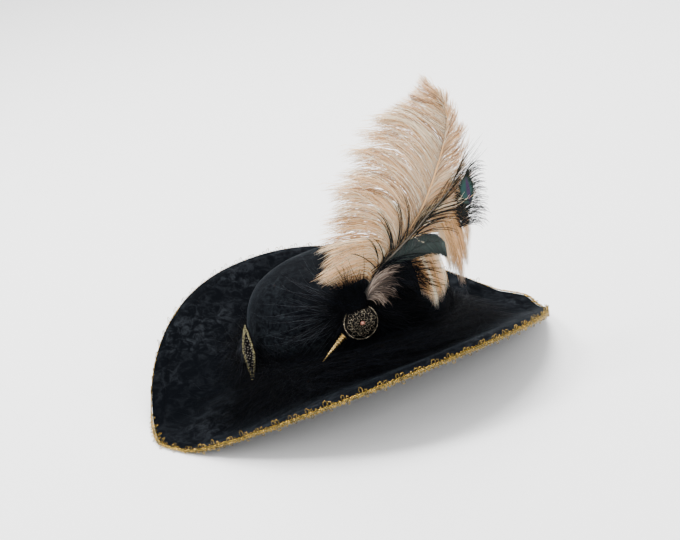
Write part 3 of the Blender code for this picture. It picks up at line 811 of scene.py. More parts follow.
def climbing_strands(name, seed, count, low_turn, high_turn, short, long):
    """Down that leaves the band and lies up against the crown."""
    rng = np.random.default_rng(seed)
    steps = 6
    s = np.linspace(0.0, 1.0, steps)[None]
    turn = rng.uniform(low_turn, high_turn, count)[:, None]
    reach = rng.uniform(short, long, count)[:, None]
    drift = rng.normal(0.0, 0.55, count)[:, None] * reach
    height = rng.uniform(3.0, 16.0, count)[:, None] * MM + reach * (s - 0.28 * s * s)
    lift = np.arcsin(np.clip(height / CROWN_HEIGHT, 0.0, 1.0) ** (CROWN_SQUARENESS / 2.0)) * 2.0 / math.pi
    here = turn + (drift * s + 0.25 * drift * s * s) / CROWN_HALF_WIDTH
    stand = rng.uniform(2.0, 7.0, count)[:, None] * MM * (0.5 + 1.6 * s - 1.5 * s * s) + 0.9 * MM
    place = crown_place(here, lift) + level(np.sin(here), -np.cos(here)) * stand[..., None]
    return tube_mesh(name, place, tapered(count, steps, DOWN_RADIUS, DOWN_RADIUS * 0.4),
                     rng.uniform(0.0, 1.0, count))


for up_down in (("marabou_up_left", 4, 2600, 0.30, 2.9, 14.0 * MM, 44.0 * MM),
                ("marabou_up_right", 9, 1300, 2.9, TAU + 0.3, 6.0 * MM, 20.0 * MM)):
    dress(climbing_strands(*up_down), black_down, "black_marabou")

# Black down and hackles behind the brooch.

# Heading in degrees, and how far the down reaches that way, in mm.
PUFF_REACH = [(-170.0, 52.0), (-120.0, 46.0), (-60.0, 40.0), (-20.0, 76.0), (3.0, 88.0), (25.0, 62.0),
              (60.0, 34.0), (100.0, 34.0), (140.0, 44.0), (190.0, 52.0), (235.0, 44.0)]
PUFF_CENTRE = np.array([0.0, 12.0, -6.0])
PUFF_HALF_SIZE = np.array([17.0, 11.0, 4.2])


def puff_strands(name, seed, count, radius, low, high, least, most):
    """Down that fans out from behind the brooch and follows the crown's side."""
    rng = np.random.default_rng(seed)
    heading = rng.uniform(low, high, count)
    reach = np.interp(heading, *zip(*PUFF_REACH)) * rng.uniform(least, most, count)
    roots = within(rng, count, (-8.0, 12.0), (4.0, 18.0), (-9.0, -3.0))
    tips = roots + headings(heading, reach)
    tips[:, 2] = -3.0 - (tips[:, 0] ** 2) / 290.0 + rng.normal(0.0, 2.5, count)
    leave = headings(heading + rng.normal(0.0, 16.0, count), reach * 0.4, 3.0)
    arrive = headings(heading + rng.normal(-12.0, 18.0, count), reach * 0.35, -2.0)
    tones = rng.uniform(0.0, 1.0, count)
    return strand_mesh(name, (roots, leave, arrive, tips), 7, radius, radius * 0.35, tones)


def puff_core(u, v):
    turn = u * TAU
    lift = (v - 0.5) * math.pi
    ball = np.stack([np.cos(turn) * np.cos(lift), np.sin(turn) * np.cos(lift), np.sin(lift)], axis=1)
    place = on_hat(ball * PUFF_HALF_SIZE + PUFF_CENTRE)
    place[:, 0] += soft_noise(place, 170.0, 4.0) * 1.2 * MM * np.cos(lift)
    return place


centre_of_puff = Vector(on_hat(PUFF_CENTRE))
core = bent_grid("marabou_puff_core", 48, 20, puff_core, lambda c: c - centre_of_puff)
dress(core, black_down, "black_marabou", "marabou_puff")
wisp_black = barb_material("black_wisp", (0.003, 0.004, 0.006), (0.009, 0.011, 0.015), (0.022, 0.026, 0.034),
                           0.8, 0.0, 0.5, Specular_IOR_Level=0.3)
for look, fan in ((black_down, ("marabou_puff_down", 5, 2300, DOWN_RADIUS, -170.0, 190.0, 0.35, 1.05)),
                  (black_down, ("hackle_right", 6, 700, 0.24 * MM, -30.0, 24.0, 0.6, 1.2)),
                  (wisp_black, ("long_wisps_left", 7, 110, 0.13 * MM, 118.0, 235.0, 0.9, 1.9)),
                  (wisp_black, ("long_wisps_right", 8, 90, 0.14 * MM, -50.0, 20.0, 0.7, 1.15))):
    dress(puff_strands(*fan), look, "black_marabou")

# Ostrich plume: outline rows of (left edge, quill, right edge), in mm from the feathers' foot.

PLUME_ROWS = np.array([
    ((-14, 6), (1, 1), (10, -2)),
    ((-28, 13), (10, 12), (24, 4)),
    ((-39, 19), (18, 20), (38, 4)),
    ((-43, 23), (26, 28), (50, 8)),
    ((-35, 47), (33, 34), (60, 14)),
    ((-27, 65), (40, 40), (70, 22)),
    ((-20, 79), (47, 46), (80, 32)),
    ((-14, 93), (56, 54), (95, 44)),
    ((-10, 104), (66, 65), (108, 54)),
    ((-2, 113), (75, 78), (115, 66)),
    ((6, 124), (84, 93), (119, 86)),
    ((15, 133), (93, 110), (121, 106)),
    ((32, 150), (100, 124), (121, 122)),
    ((37, 160), (106, 138), (120, 137)),
    ((56, 166), (107, 155), (116, 149)),
    ((77, 174), (103, 168), (110, 162)),
    ((93, 188), (98, 178), (102, 176)),
], float)
LAST_ROW = len(PLUME_ROWS) - 1


def plume_row(column, at):
    return between_rows(PLUME_ROWS[:, column], at, 0.0)


def quill_heading(at):
    step = plume_row(1, at + 0.5) - plume_row(1, at - 0.5)
    return np.degrees(np.arctan2(step[:, 1], step[:, 0]))


def plume_vane(name, seed, count, side, radius, low):
    """One side's barbs: they leave the quill upwards, in clumps, and curl over to the feather's edge."""
    rng = np.random.default_rng(seed)
    steps = 9
    at = np.sort(rng.uniform(low, LAST_ROW, count))
    clump = np.floor(at * 13.0 + rng.uniform(-0.4, 0.4, count)).astype(int)
    clump -= clump.min()
    together = rng.normal(0.0, 1.0, (clump.max() + 1, 4))[clump]
    lock = np.floor(at * 2.3 + 0.25 * rng.normal(size=count)).astype(int)
    lock -= lock.min()
    locked = rng.normal(0.0, 1.0, (lock.max() + 1, 3))[lock]
    if side < 0:
        tips = plume_row(0, at + 0.12 * together[:, 0])
        lag = np.interp(at, [0, 3, 9, 13, 16], [0.0, 1.0, 2.0, 1.8, 1.2])
        turned_by, pull = np.interp(at, [12.0, 15.0], [36.0, 16.0]), 0.44
        end = np.interp(at, [0, 3, 8, 11, 13, 15, 16], [205, 196, 194, 190, 172, 136, 122])
        fall_back = -9.0 * np.sin(math.pi / 2.0 * np.minimum(at / 8.0, 1.0))
    else:
        tips = plume_row(2, at + 0.12 * together[:, 0])
        lag = np.interp(at, [0, 6, 8, 16], [0.2, 0.6, 2.2, 1.6])
        turned_by, pull = np.interp(at, [8.0, 11.0], [-26.0, -14.0]), 0.5
        end = np.interp(at, [0, 2, 7, 9, 12, 16], [-40, -30, 10, 52, 76, 104])
        fall_back = -3.0
    roots = plume_row(1, at - lag + 0.1 * rng.normal(size=count))
    roots[:, 2] = rng.normal(0.0, 0.6, count)
    reach = tips - roots
    length = np.linalg.norm(reach[:, :2], axis=1)
    stray = np.where(rng.uniform(0.0, 1.0, count) < 0.05, rng.uniform(0.04, 0.14, count), 0.0)
    ragged = np.interp(at, [11.5, 14.5], [1.0, 0.3])
    cut = rng.uniform(-0.24, 0.0, count) + 0.06 * together[:, 1] + 0.05 * locked[:, 0] + stray
    tips = roots + reach * (1.0 + cut * ragged)[:, None]
    tips[:, :2] += rng.normal(0.0, 1.5, (count, 2)) + 1.5 * together[:, 1:3]
    tips[:, 2] = fall_back + 2.4 * together[:, 2] + 2.4 * locked[:, 1] + rng.normal(0.0, 1.2, count)
    spread = rng.normal(0.0, 6.0, count) + 6.0 * together[:, 3] + 6.0 * locked[:, 2]
    spread *= 1.0 if side < 0 else 0.5
    leave = headings(quill_heading(at) + turned_by + spread, length * pull, rng.normal(2.0, 1.5, count))
    arrive = headings(end + spread, length * 0.36, -1.0)
    routes = sweep(roots, leave, arrive, tips, steps)
    s = np.linspace(0.0, 1.0, steps)[None]
    ripple_rate = rng.uniform(5.0, 9.0, count)[:, None]
    ripple = np.sin(s * ripple_rate + rng.uniform(0.0, TAU, count)[:, None]) * s * 1.1
    routes[..., 1] += ripple
    routes[..., 2] += ripple * 0.6
    tones = np.clip(0.56 + 0.24 * together[:, 3] + 0.26 * rng.normal(size=count), 0.0, 1.0)
    return tube_mesh(name, on_hat(routes), tapered(count, steps, radius, radius * 0.45), tones)


BARB_RADIUS = 0.34 * MM
QUILL_RADIUS = 1.3 * MM
champagne = barb_material("champagne_barbs", (0.27, 0.12, 0.038), (0.90, 0.535, 0.235), (1.0, 0.87, 0.64),
                          0.55, 0.35)
left_vane = plume_vane("plume_vane_left", 21, 2200, -1, BARB_RADIUS, low=1.1)
dress(left_vane, champagne, "champagne_ostrich", "ostrich_plume")
dress(plume_vane("plume_vane_right", 22, 900, 1, BARB_RADIUS, low=6.0), champagne, "champagne_ostrich")


def plume_droop(name, seed, count, low, high, left_tip, right_tip, lift, hang):
    """Long barbs that curl over and hang down: tips lie between two points, highest at their sides."""
    rng = np.random.default_rng(seed)
    place = rng.uniform(0.0, 1.0, count)
    clump = np.floor(place * 9.0).astype(int)
    together = rng.normal(0.0, 1.0, (10, 3))[clump]
    roots = plume_row(1, low + (high - low) * np.clip(place + rng.normal(0.0, 0.2, count), 0.0, 1.0))
    tips = np.array(left_tip) * (1.0 - place[:, None]) + np.array(right_tip) * place[:, None]
    tips = np.concatenate([tips, np.full((count, 1), -2.0)], axis=1) + FOOT
    tips[:, 1] -= hang * np.sin(place * math.pi) * rng.uniform(0.4, 1.0, count) + 3.0 * together[:, 0]
    tips[:, 0] += rng.normal(0.0, 1.0, count)
    tips[:, 2] += rng.normal(0.0, 1.5, count) + together[:, 1]
    roots[:, 2] = -1.0
    rise = lift * rng.uniform(0.8, 1.15, count)
    leave = np.stack([0.5 * (tips[:, 0] - roots[:, 0]), rise, np.full(count, 1.0)], axis=1)
    sway = rng.normal(-1.0, 2.5, count)
    fall = -lift * 1.9 * rng.uniform(0.85, 1.1, count)
    arrive = np.stack([sway, fall, np.zeros(count)], axis=1)
    tones = np.clip(0.62 + 0.18 * together[:, 2] + 0.15 * rng.normal(size=count), 0.0, 1.0)
    return strand_mesh(name, (roots, leave, arrive, tips), 11, 0.30 * MM, 0.13 * MM, tones)


for droop in (("plume_droop_near", 23, 420, 3.0, 6.0, (55, -12), (80, -10), 22.0, 18.0),
              ("plume_droop_far", 24, 520, 6.5, 9.5, (84, 6), (112, 34), 30.0, 28.0)):
    dress(plume_droop(*droop), champagne, "champagne_ostrich")

quill_at = np.linspace(6.0, LAST_ROW, 40)
quill_route = plume_row(1, quill_at)
quill_route[:, 2] = 1.0
quill_radii = tapered(1, len(quill_at), QUILL_RADIUS, 0.4 * MM)
quill = tube_mesh("plume_quill", on_hat(quill_route)[None], quill_radii, [0.3], sides=8)
dress(quill, champagne, "champagne_ostrich")

# Pink tuft at the plume's foot.

pink = barb_material("pink_barbs", (0.022, 0.013, 0.009), (0.10, 0.065, 0.046), (0.50, 0.39, 0.31), 0.08,
                     0.05)
TUFT_OUT = 5.5                           # mm off the hat, in front of the plume


def tuft_strands(seed, count):
    rng = np.random.default_rng(seed)
    fan = rng.uniform(0.0, 1.0, count)
    clump = np.floor(fan * 13).astype(int)
    together = rng.normal(0.0, 1.0, (14, 3))[clump]
    fan = (clump + 0.5 + 0.3 * (fan * 13.0 - clump - 0.5)) / 13.0
    heading = np.interp(fan, [0.0, 0.45, 0.8, 1.0], [38.0, 18.0, -18.0, -48.0])
    reach = np.interp(fan, [0.0, 0.3, 0.6, 1.0], [30.0, 42.0, 34.0, 22.0]) * rng.uniform(0.62, 1.08, count)
    roots = FOOT + level(*within(rng, count, (0.0, 5.0), (-3.0, 4.0)).T)
    roots[:, 2] = TUFT_OUT
    tips = roots + headings(heading + 4.0 * together[:, 0], reach + 2.0 * together[:, 1])
    tips[:, 2] = TUFT_OUT + rng.normal(0.0, 1.2, count)
    leave = headings(heading + 34.0, reach * 0.4, 2.0)
    arrive = headings(heading - 46.0 + rng.normal(0.0, 14.0, count), reach * 0.4, -1.0)
    tones = np.clip(0.5 + 0.22 * together[:, 2] + 0.15 * rng.normal(size=count), 0.0, 1.0)
    return strand_mesh("ostrich_tuft_barbs", (roots, leave, arrive, tips), 8, BARB_RADIUS, 0.16 * MM, tones)


dress(tuft_strands(31, 150), pink, "pink_ostrich", "ostrich_tuft")

# Peacock feather.

herl = barb_material("peacock_herl", (0.003, 0.003, 0.002), (0.012, 0.011, 0.006), (0.09, 0.07, 0.04), 0.6,
                     0.0, 0.5, Specular_IOR_Level=0.2)
quill_brown = barb_material("peacock_quill", (0.02, 0.016, 0.01), (0.11, 0.085, 0.055), (0.2, 0.16, 0.1), 0.1,
                            0.0, 0.4)

STEM_ROUTE = np.array([(0, 3), (8, 12), (18, 23), (33, 33), (48, 43), (59, 51), (70, 60), (83, 69), (94, 78),
                       (101, 86), (107, 95), (112, 102), (118, 113)], float)
STEM_OUT = 4.0                           # mm off the hat
STEM_HEADING = 42.0                      # degrees, taken over its whole length


def stem_at(share):
    return between_rows(STEM_ROUTE, share * (len(STEM_ROUTE) - 1), STEM_OUT)


stem_route = on_hat(stem_at(np.linspace(0.0, 1.0, 40)))[None]
stem = tube_mesh("peacock_stem_quill", stem_route, tapered(1, 40, QUILL_RADIUS, 0.35 * MM), [0.35], sides=8)
dress(stem, quill_brown, "peacock_quill", "peacock_stem")

HERL_LIFT = np.array([0.0, 2.5, 0.0])    # the herls' points are taken a little below their place
# Long herls, from the stem to their tips, in mm from the feathers' foot.
HERLS = np.array([
    ((56, 67), (59, 109)), ((49, 64), (53, 102)), ((42, 58), (32, 97)), ((38, 57), (36, 86)),
    ((31, 52), (25, 72)), ((22, 45), (1, 65)), ((26, 52), (18, 74)), ((40, 58), (33, 94)),
    ((46, 62), (51, 98)), ((24, 45), (22, 66)), ((66, 66), (108, 59)), ((66, 68), (103, 70)),
    ((72, 74), (117, 66)), ((76, 78), (122, 72)), ((80, 80), (128, 72)), ((84, 83), (132, 76)),
    ((62, 64), (98, 74)), ((90, 87), (130, 80)),
], float)


def herl_strands(seed):
    rng = np.random.default_rng(seed)
    steps = 9
    pairs = np.repeat(HERLS, 2, axis=0)
    count = len(pairs)
    roots = np.concatenate([pairs[:, 0], np.full((count, 1), STEM_OUT)], axis=1)
    tips = np.concatenate([pairs[:, 1], np.full((count, 1), STEM_OUT + 2.0)], axis=1)
    tips += rng.normal(0.0, 1.3, (count, 3))
    roots, tips = roots + HERL_LIFT, tips + HERL_LIFT
    chord = tips - roots
    length = np.linalg.norm(chord, axis=1)
    heading = np.degrees(np.arctan2(chord[:, 1], chord[:, 0]))
    bow = np.where(chord[:, 0] > 25.0, 24.0, -18.0)
    leave = headings(heading + bow, length * 0.35, 2.0)
    arrive = headings(heading - bow * 1.4, length * 0.35, 0.0)
    main = sweep(roots, leave, arrive, tips, steps)
    lined = 150
    share = rng.uniform(0.08, 0.86, lined)
    lined_roots = stem_at(share)
    side = np.sign(rng.normal(0.0, 1.0, lined))
    lined_length = rng.uniform(16.0, 44.0, lined) * np.minimum(1.0, 0.45 + share)
    lined_heading = STEM_HEADING + side * rng.uniform(2.0, 11.0, lined)
    lined_tips = lined_roots + headings(lined_heading, lined_length)
    lined_tips[:, 2] += rng.normal(0.0, 1.2, lined)
    close = sweep(lined_roots, headings(lined_heading + side * 10.0, lined_length * 0.4, 1.0),
                  headings(lined_heading - side * 8.0, lined_length * 0.3, 0.0), lined_tips, steps)
    radii = [tapered(count, steps, 0.55 * MM, 0.26 * MM), tapered(lined, steps, 0.27 * MM, 0.12 * MM)]
    tones = [rng.uniform(0.0, 0.4, count), rng.uniform(0.0, 1.0, lined) * np.clip(1.8 * share, 0.2, 1.0)]
    return tube_mesh("peacock_herls", on_hat(np.concatenate([main, close])), np.concatenate(radii),
                     np.concatenate(tones))


dress(herl_strands(51), herl, "peacock_quill")


def eye_material():
    """Rings of the eye, read from the eye's own coordinates: violet slit, teal, bronze and green."""
    material, tree, shader = new_material("peacock_eye_barbs", Metallic=0.1, Roughness=0.45,
                                          Specular_IOR_Level=0.3)
    uv = coords_of(tree, "UV")
    centred = add_node(tree, "ShaderNodeMapping", {"Vector": uv, "Location": (-0.5, -0.5, 0.0)}).outputs[0]
    split = add_node(tree, "ShaderNodeSeparateXYZ", {0: centred})
    wobble = maths(tree, "MULTIPLY", maths(tree, "SUBTRACT", noise_node(tree, uv, 26.0, 3.0), 0.5), 0.08)
    x, y = split.outputs["X"], split.outputs["Y"]
    ring = maths(tree, "ADD", hypotenuse(tree, x, y), wobble)
    slit_x = maths(tree, "MULTIPLY", maths(tree, "SUBTRACT", x, 0.05), 5.2)
    slit = hypotenuse(tree, slit_x, maths(tree, "MULTIPLY", y, 1.35))
    rings = ramp(tree, ring, [
        (0.0, (0.001, 0.022, 0.024)), (0.16, (0.002, 0.034, 0.030)), (0.25, (0.003, 0.016, 0.010)),
        (0.34, (0.005, 0.009, 0.005)), (0.5, (0.002, 0.003, 0.002))])
    inside = ranged(tree, slit, 0.28, 0.42, 0.0, 1.0)
    color = mixed(tree, inside, (0.020, 0.006, 0.034, 1.0), rings)
    feed(tree, shader, Base_Color=color, Roughness=ranged(tree, ring, 0.0, 0.6, 0.32, 0.6))
    return material


EYE_CENTRE = np.array([112.0, 75.0, 0.0]) + FOOT
EYE_SIZE = np.array([26.0, 46.0])        # width and height that the eye's rings span, in mm
PAD_HALF_WIDTH = 6.6
PAD_HALF_HEIGHT = 14.0
PAD_TILT = math.radians(-8.0)


def eye_barbs(seed, count):
    """Barbs that fan from the eye's lower end; the right ones run on and curl."""
    rng = np.random.default_rng(seed)
    share = rng.uniform(0.0, 1.0, count)
    roots = np.array([109.0, 66.0, STEM_OUT + 0.6]) + share[:, None] * np.array([9.0, 42.0, 0.0])
    roots[:, :2] += rng.normal(0.0, 0.5, (count, 2))
    right = rng.uniform(0.0, 1.0, count) < 0.55
    heading = np.where(right, 18.0 + 46.0 * share, 122.0 + 10.0 * (1.0 - share)) + rng.normal(0.0, 7.0, count)
    length = np.where(right, rng.uniform(16.0, 29.0, count),
                      rng.uniform(6.0, 11.0, count) * (0.5 + 0.5 * np.sin(share * math.pi)))
    tips = roots + headings(heading - np.where(right, 30.0, -8.0), length)
    tips[:, 2] += rng.normal(0.0, 1.0, count)
    curl = rng.uniform(40.0, 95.0, count)
    leave = headings(heading, length * 0.45, 0.8)
    arrive = headings(heading - np.where(right, 30.0 + curl, -25.0), length * 0.3, 0.0)
    return strand_mesh("peacock_eye_barbs", (roots, leave, arrive, tips), 10, 0.32 * MM, 0.16 * MM, share)


def lay_eye_map(piece):
    """UV map in the eye's own frame, so that its rings cross all its barbs."""
    count = len(piece.data.vertices)
    places = np.empty(count * 3)
    piece.data.vertices.foreach_get("co", places)
    local = (places.reshape(-1, 3) - ORNAMENT[:3, 3]) @ ORNAMENT[:3, :3] / MM
    flat = (local[:, :2] - EYE_CENTRE[:2]) / EYE_SIZE + 0.5
    corners = np.empty(len(piece.data.loops), np.int32)
    piece.data.loops.foreach_get("vertex_index", corners)
    piece.data.uv_layers[0].uv.foreach_set("vector", flat[corners].astype(np.float32).ravel())
    return piece


def eye_pad(u, v):
    angle = u * TAU
    x = PAD_HALF_WIDTH * v * np.cos(angle)
    y = PAD_HALF_HEIGHT * v * np.sin(angle)
    flat = np.stack([x * math.cos(PAD_TILT) - y * math.sin(PAD_TILT),
                     x * math.sin(PAD_TILT) + y * math.cos(PAD_TILT), 1.0 - 0.8 * v ** 2], axis=1)
    return on_hat(flat + EYE_CENTRE + np.array([0.0, 0.0, STEM_OUT + 0.8]))


eye_look = eye_material()
facing_out = Vector(ORNAMENT[:3, 2])
pad = bent_grid("peacock_eye_pad", 40, 10, eye_pad, lambda c: facing_out)
apply_modifier(pad, "SOLIDIFY", thickness=0.4 * MM, offset=-1.0)
dress(lay_eye_map(pad), eye_look, "peacock_eye", "peacock_eye")
dress(lay_eye_map(eye_barbs(61, 330)), eye_look, "peacock_eye")

# Dark green-black feather.

DARK_ROWS = np.array([
    ((2, 2), (4, 1), (6, -1)),
    ((14, 13), (15, 10), (17, 8)),
    ((32, 31), (34, 25), (36, 18)),
    ((50, 42), (53, 33), (56, 24)),
    ((64, 45), (67, 36), (70, 24)),
    ((77, 42), (77, 34), (78, 21)),
    ((84, 33), (84, 26), (84, 17)),
], float)


def dark_row(column, at):
    return between_rows(DARK_ROWS[:, column], at, 2.0)


def dark_material():
    material, tree, shader = new_material("dark_feather_vane", Metallic=0.25, Roughness=0.4, Coat_Weight=0.1,
                                          Sheen_Weight=0.1)
    uv = coords_of(tree, "UV")
    stretched = add_node(tree, "ShaderNodeMapping", {"Vector": uv, "Scale": (90.0, 3.0, 1.0)}).outputs[0]
    lines = noise_node(tree, stretched, 1.0, 3.0)
    patch = noise_node(tree, coords_of(tree, "Object"), 60.0, 3.0)
    green = ranged(tree, patch, 0.4, 0.62, 0.0, 1.0)
    color = mixed(tree, green, (0.002, 0.004, 0.004, 1.0), (0.006, 0.022, 0.017, 1.0))
    shaded = mixed(tree, ranged(tree, lines, 0.35, 0.65, 0.0, 1.0), color, (0.012, 0.03, 0.026, 1.0))
    feed(tree, shader, Base_Color=shaded, Normal=bump(tree, lines, 0.6, 0.3 * MM),
         Roughness=ranged(tree, lines, 0.3, 0.7, 0.34, 0.55))
    return material


def dark_vane(u, v):
    at = u * (len(DARK_ROWS) - 1)
    side = v * 2.0 - 1.0
    middle = dark_row(1, at)
    edge = np.where((side < 0.0)[:, None], dark_row(0, at), dark_row(2, at))
    place = middle + (edge - middle) * (np.abs(side) * 0.93)[:, None]
    place[:, 2] += 1.0 * (1.0 - side ** 2) * u
    return on_hat(place)


dark_look = dark_material()
vane = bent_grid("dark_feather_sheet", 60, 12, dark_vane, lambda c: facing_out)
apply_modifier(vane, "SOLIDIFY", thickness=0.5 * MM, offset=-1.0)
dress(vane, dark_look, "dark_feather", "dark_feather")


def dark_barbs(seed, count):
    rng = np.random.default_rng(seed)
    at = rng.uniform(0.5, len(DARK_ROWS) - 1.0, count)
    left = rng.uniform(0.0, 1.0, count) < 0.5
    roots = dark_row(1, at - 0.6)
    tips = np.where(left[:, None], dark_row(0, at), dark_row(2, at))
    tips += (tips - roots) * rng.uniform(-0.1, 0.16, count)[:, None]
    roots[:, 2] = 3.0
    tips[:, 2] = 2.6 + rng.normal(0.0, 0.4, count)
    pull = (tips - roots) * 0.35
    bend = np.where(left, 5.0, 4.0)[:, None] * np.array([0.8, 0.6, 0.05])
    curve = (roots, pull + bend * 0.3, pull, tips)
    return strand_mesh("dark_feather_barbs", curve, 7, 0.26 * MM, 0.12 * MM, rng.uniform(0.0, 1.0, count))


dark_strands = barb_material("dark_barbs", (0.002, 0.004, 0.004), (0.006, 0.016, 0.013), (0.012, 0.04, 0.032),
                             0.8, 0.1, 0.4)
dress(dark_barbs(71, 700), dark_strands, "dark_feather")


def hackle_strands(seed, count):
    """Long black hackles that sweep over the plume's lower droop."""
    rng = np.random.default_rng(seed)
    roots = within(rng, count, (16.0, 54.0), (30.0, 50.0), (4.0, 5.5))
    reach = rng.beta(2.2, 1.6, count)
    back = 46.0 + 42.0 * reach + rng.normal(0.0, 3.0, count)
    high = rng.uniform(10.0, 50.0, count) - 4.0 * (1.0 - reach)
    tips = np.stack([back, high, rng.uniform(4.0, 8.0, count)], axis=1)
    roots[:, 1] -= (50.0 - tips[:, 1]) * 0.3
    length = np.linalg.norm(tips - roots, axis=1)
    leave = headings(rng.normal(32.0, 8.0, count), length * 0.4, 1.0)
    arrive = headings(rng.normal(-12.0, 12.0, count), length * 0.35, 0.0)
    curve = (roots, leave, arrive, tips)
    return strand_mesh("hackle_over_plume", curve, 9, 0.46 * MM, 0.18 * MM, rng.uniform(0.0, 1.0, count))


dress(hackle_strands(81, 130), black_down, "black_marabou")


def over_plume_strands(name, seed, count, low, high, short, long, radius):
    """Black down that stands up in front of the plume's lower end, thinning out over it."""
    rng = np.random.default_rng(seed)
    heading = rng.uniform(low, high, count)
    reach = rng.uniform(short, long, count)
    roots = within(rng, count, (-14.0, 9.0), (12.0, 24.0), (1.0, 4.0))
    tips = roots + headings(heading, reach)
    tips[:, 2] = rng.uniform(1.5, 6.0, count)
    leave = headings(heading + rng.normal(0.0, 20.0, count), reach * 0.4, 2.0)
    arrive = headings(heading + rng.normal(0.0, 28.0, count), reach * 0.35, 0.0)
    tones = rng.uniform(0.0, 1.0, count)
    return strand_mesh(name, (roots, leave, arrive, tips), 6, radius, radius * 0.4, tones)


for down_over in (("down_over_plume", 82, 1300, 55.0, 195.0, 9.0, 27.0, 0.20 * MM),
                  ("wisps_over_plume", 83, 34, 50.0, 165.0, 26.0, 48.0, 0.34 * MM)):
    dress(over_plume_strands(*down_over), black_down, "black_marabou")

# Badge: black cloth, double beaded border and small grey beads.

badge_gold = metal_material("badge_gold", (0.34, 0.31, 0.17), (0.006, 0.005, 0.003), 0.2, 900.0)
grey_bead = metal_material("badge_grey_bead", (0.2, 0.18, 0.15), (0.002, 0.002, 0.002), 0.25, 900.0)


def cloth_material():
    material, tree, shader = new_material("badge_cloth", Roughness=0.9, Specular_IOR_Level=0.05)
    coords = coords_of(tree, "Object")
    threads = [add_node(tree, "ShaderNodeTexWave", {"Vector": coords, "Scale": 700.0}, bands_direction=way)
               for way in ("X", "Z")]
    weave = maths(tree, "MULTIPLY", threads[0].outputs["Fac"], threads[1].outputs["Fac"])
    color = mixed(tree, weave, (0.0008, 0.0008, 0.001, 1.0), (0.004, 0.004, 0.005, 1.0))
    feed(tree, shader, Base_Color=color, Normal=bump(tree, weave, 0.5, 0.2 * MM),
         Roughness=ranged(tree, weave, 0.0, 1.0, 0.95, 0.75))
    return material


def finish_node(name, material):
    """A CAD node that shows as it is, in its real finish."""
    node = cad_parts[name]
    node.data.materials.clear()
    node.data.materials.append(material)


badge = badge_matrix()
finish_node("front_badge_back", cloth_material())


def lozenge_walk(length, width, count):
    """Points at equal steps along a pointed outline with slightly bowed sides."""
    corners = np.array([(0, length), (width, 0), (0, -length), (-width, 0), (0, length)]) / 2.0
    outline = []
    for start, end in zip(corners, corners[1:]):
        for share in np.linspace(0.0, 1.0, 40, endpoint=False):
            bow = (start + end) / 2.0 * 4.0 * BADGE_BULGE * share * (1.0 - share)
            outline.append(start + (end - start) * share + bow)
    outline = np.array(outline + [corners[0]])
    walk = np.concatenate([[0.0], np.cumsum(np.linalg.norm(np.diff(outline, axis=0), axis=1))])
    at = np.arange(count) / count * walk[-1]
    return np.stack([np.interp(at, walk, outline[:, axis]) for axis in range(2)], axis=1)


def bead_mesh(name, places, sizes):
    """A bead modelled once and copied to each place, all joined in one mesh."""
    bpy.ops.object.select_all(action="DESELECT")
    bpy.ops.mesh.primitive_ico_sphere_add(subdivisions=2, radius=1.0)
    bead = bpy.context.active_object
    shape = np.array([vertex.co for vertex in bead.data.vertices])
    faces = np.array([face.vertices[:] for face in bead.data.polygons])
    bpy.data.objects.remove(bead)
    sizes = np.broadcast_to(sizes, len(places))
    points = places[:, None] + shape[None] * sizes[:, None, None]
    all_faces = faces[None] + (np.arange(len(places)) * len(shape))[:, None, None]
    return new_piece(name, points, all_faces.reshape(-1, 3).tolist())


def move(piece, matrix):
    piece.data.transform(matrix)
    return piece


def in_badge(flat, height):
    return np.stack([flat[:, 0], np.full(len(flat), -BADGE_THICKNESS - height), flat[:, 1]], axis=1)


OUTER_BEADS, INNER_BEADS = 60, 44
rng = np.random.default_rng(90)
outer = lozenge_walk(BADGE_LENGTH - 2.6 * MM, BADGE_WIDTH - 1.5 * MM, OUTER_BEADS)
outer += rng.normal(0.0, 0.18 * MM, outer.shape)
inner = lozenge_walk(BADGE_LENGTH - 10.0 * MM, BADGE_WIDTH - 5.2 * MM, INNER_BEADS)
inner += rng.normal(0.0, 0.25 * MM, inner.shape)
border_places = np.concatenate([in_badge(outer, 0.5 * MM), in_badge(inner, 0.4 * MM)])
border_sizes = np.concatenate([rng.uniform(0.45, 1.0, OUTER_BEADS), rng.uniform(0.4, 0.85, INNER_BEADS)]) * MM
border = move(bead_mesh("badge_border_beads", border_places, border_sizes), badge)
dress(border, badge_gold, "badge_gold", "front_badge_border")

cord_rings = [in_badge(lozenge_walk(BADGE_LENGTH - cut * MM, BADGE_WIDTH - cut * 0.55 * MM, 160), high * MM)
              for cut, high in ((0.3, 0.2), (6.8, 0.25), (14.5, 0.2))]
cords = tube_mesh("badge_border_cords", cord_rings, 0.2 * MM, sides=6, closed=True, facing=(0.0, 1.0, 0.0),
                  lay=1.5 * MM)
# The second colour is painted shade for the gaps between the plies.
badge_cord = thread_material("badge_cord", (0.05, 0.04, 0.02), (0.004, 0.003, 0.002), plies=1.0)
dress(move(cords, badge), badge_cord, "badge_gold")

FIELD_HALF_LENGTH = 19.5                 # of the cloth inside the border, in mm
FIELD_HALF_WIDTH = 7.6
rng = np.random.default_rng(91)
bead_rows = []
for v in np.arange(-17.0, 17.1, 2.9):
    half = (1.0 - abs(v) / FIELD_HALF_LENGTH) * FIELD_HALF_WIDTH
    in_row = int(2.0 * half / 3.2)
    bead_rows += [(u * MM, v * MM) for u in (np.linspace(-half, half, in_row) if in_row > 1 else [0.0])]
bead_rows = np.array(bead_rows)
bead_rows += rng.normal(0.0, 0.22 * MM, bead_rows.shape)
bead_sizes = rng.uniform(0.6, 0.85, len(bead_rows)) * MM
middle = bead_mesh("badge_middle_beads", in_badge(bead_rows, 0.55 * MM), bead_sizes)
dress(move(middle, badge), grey_bead, "badge_cloth")

# Brooch: scrolled wire over a dark dome, with a roped rim and a copper bead.

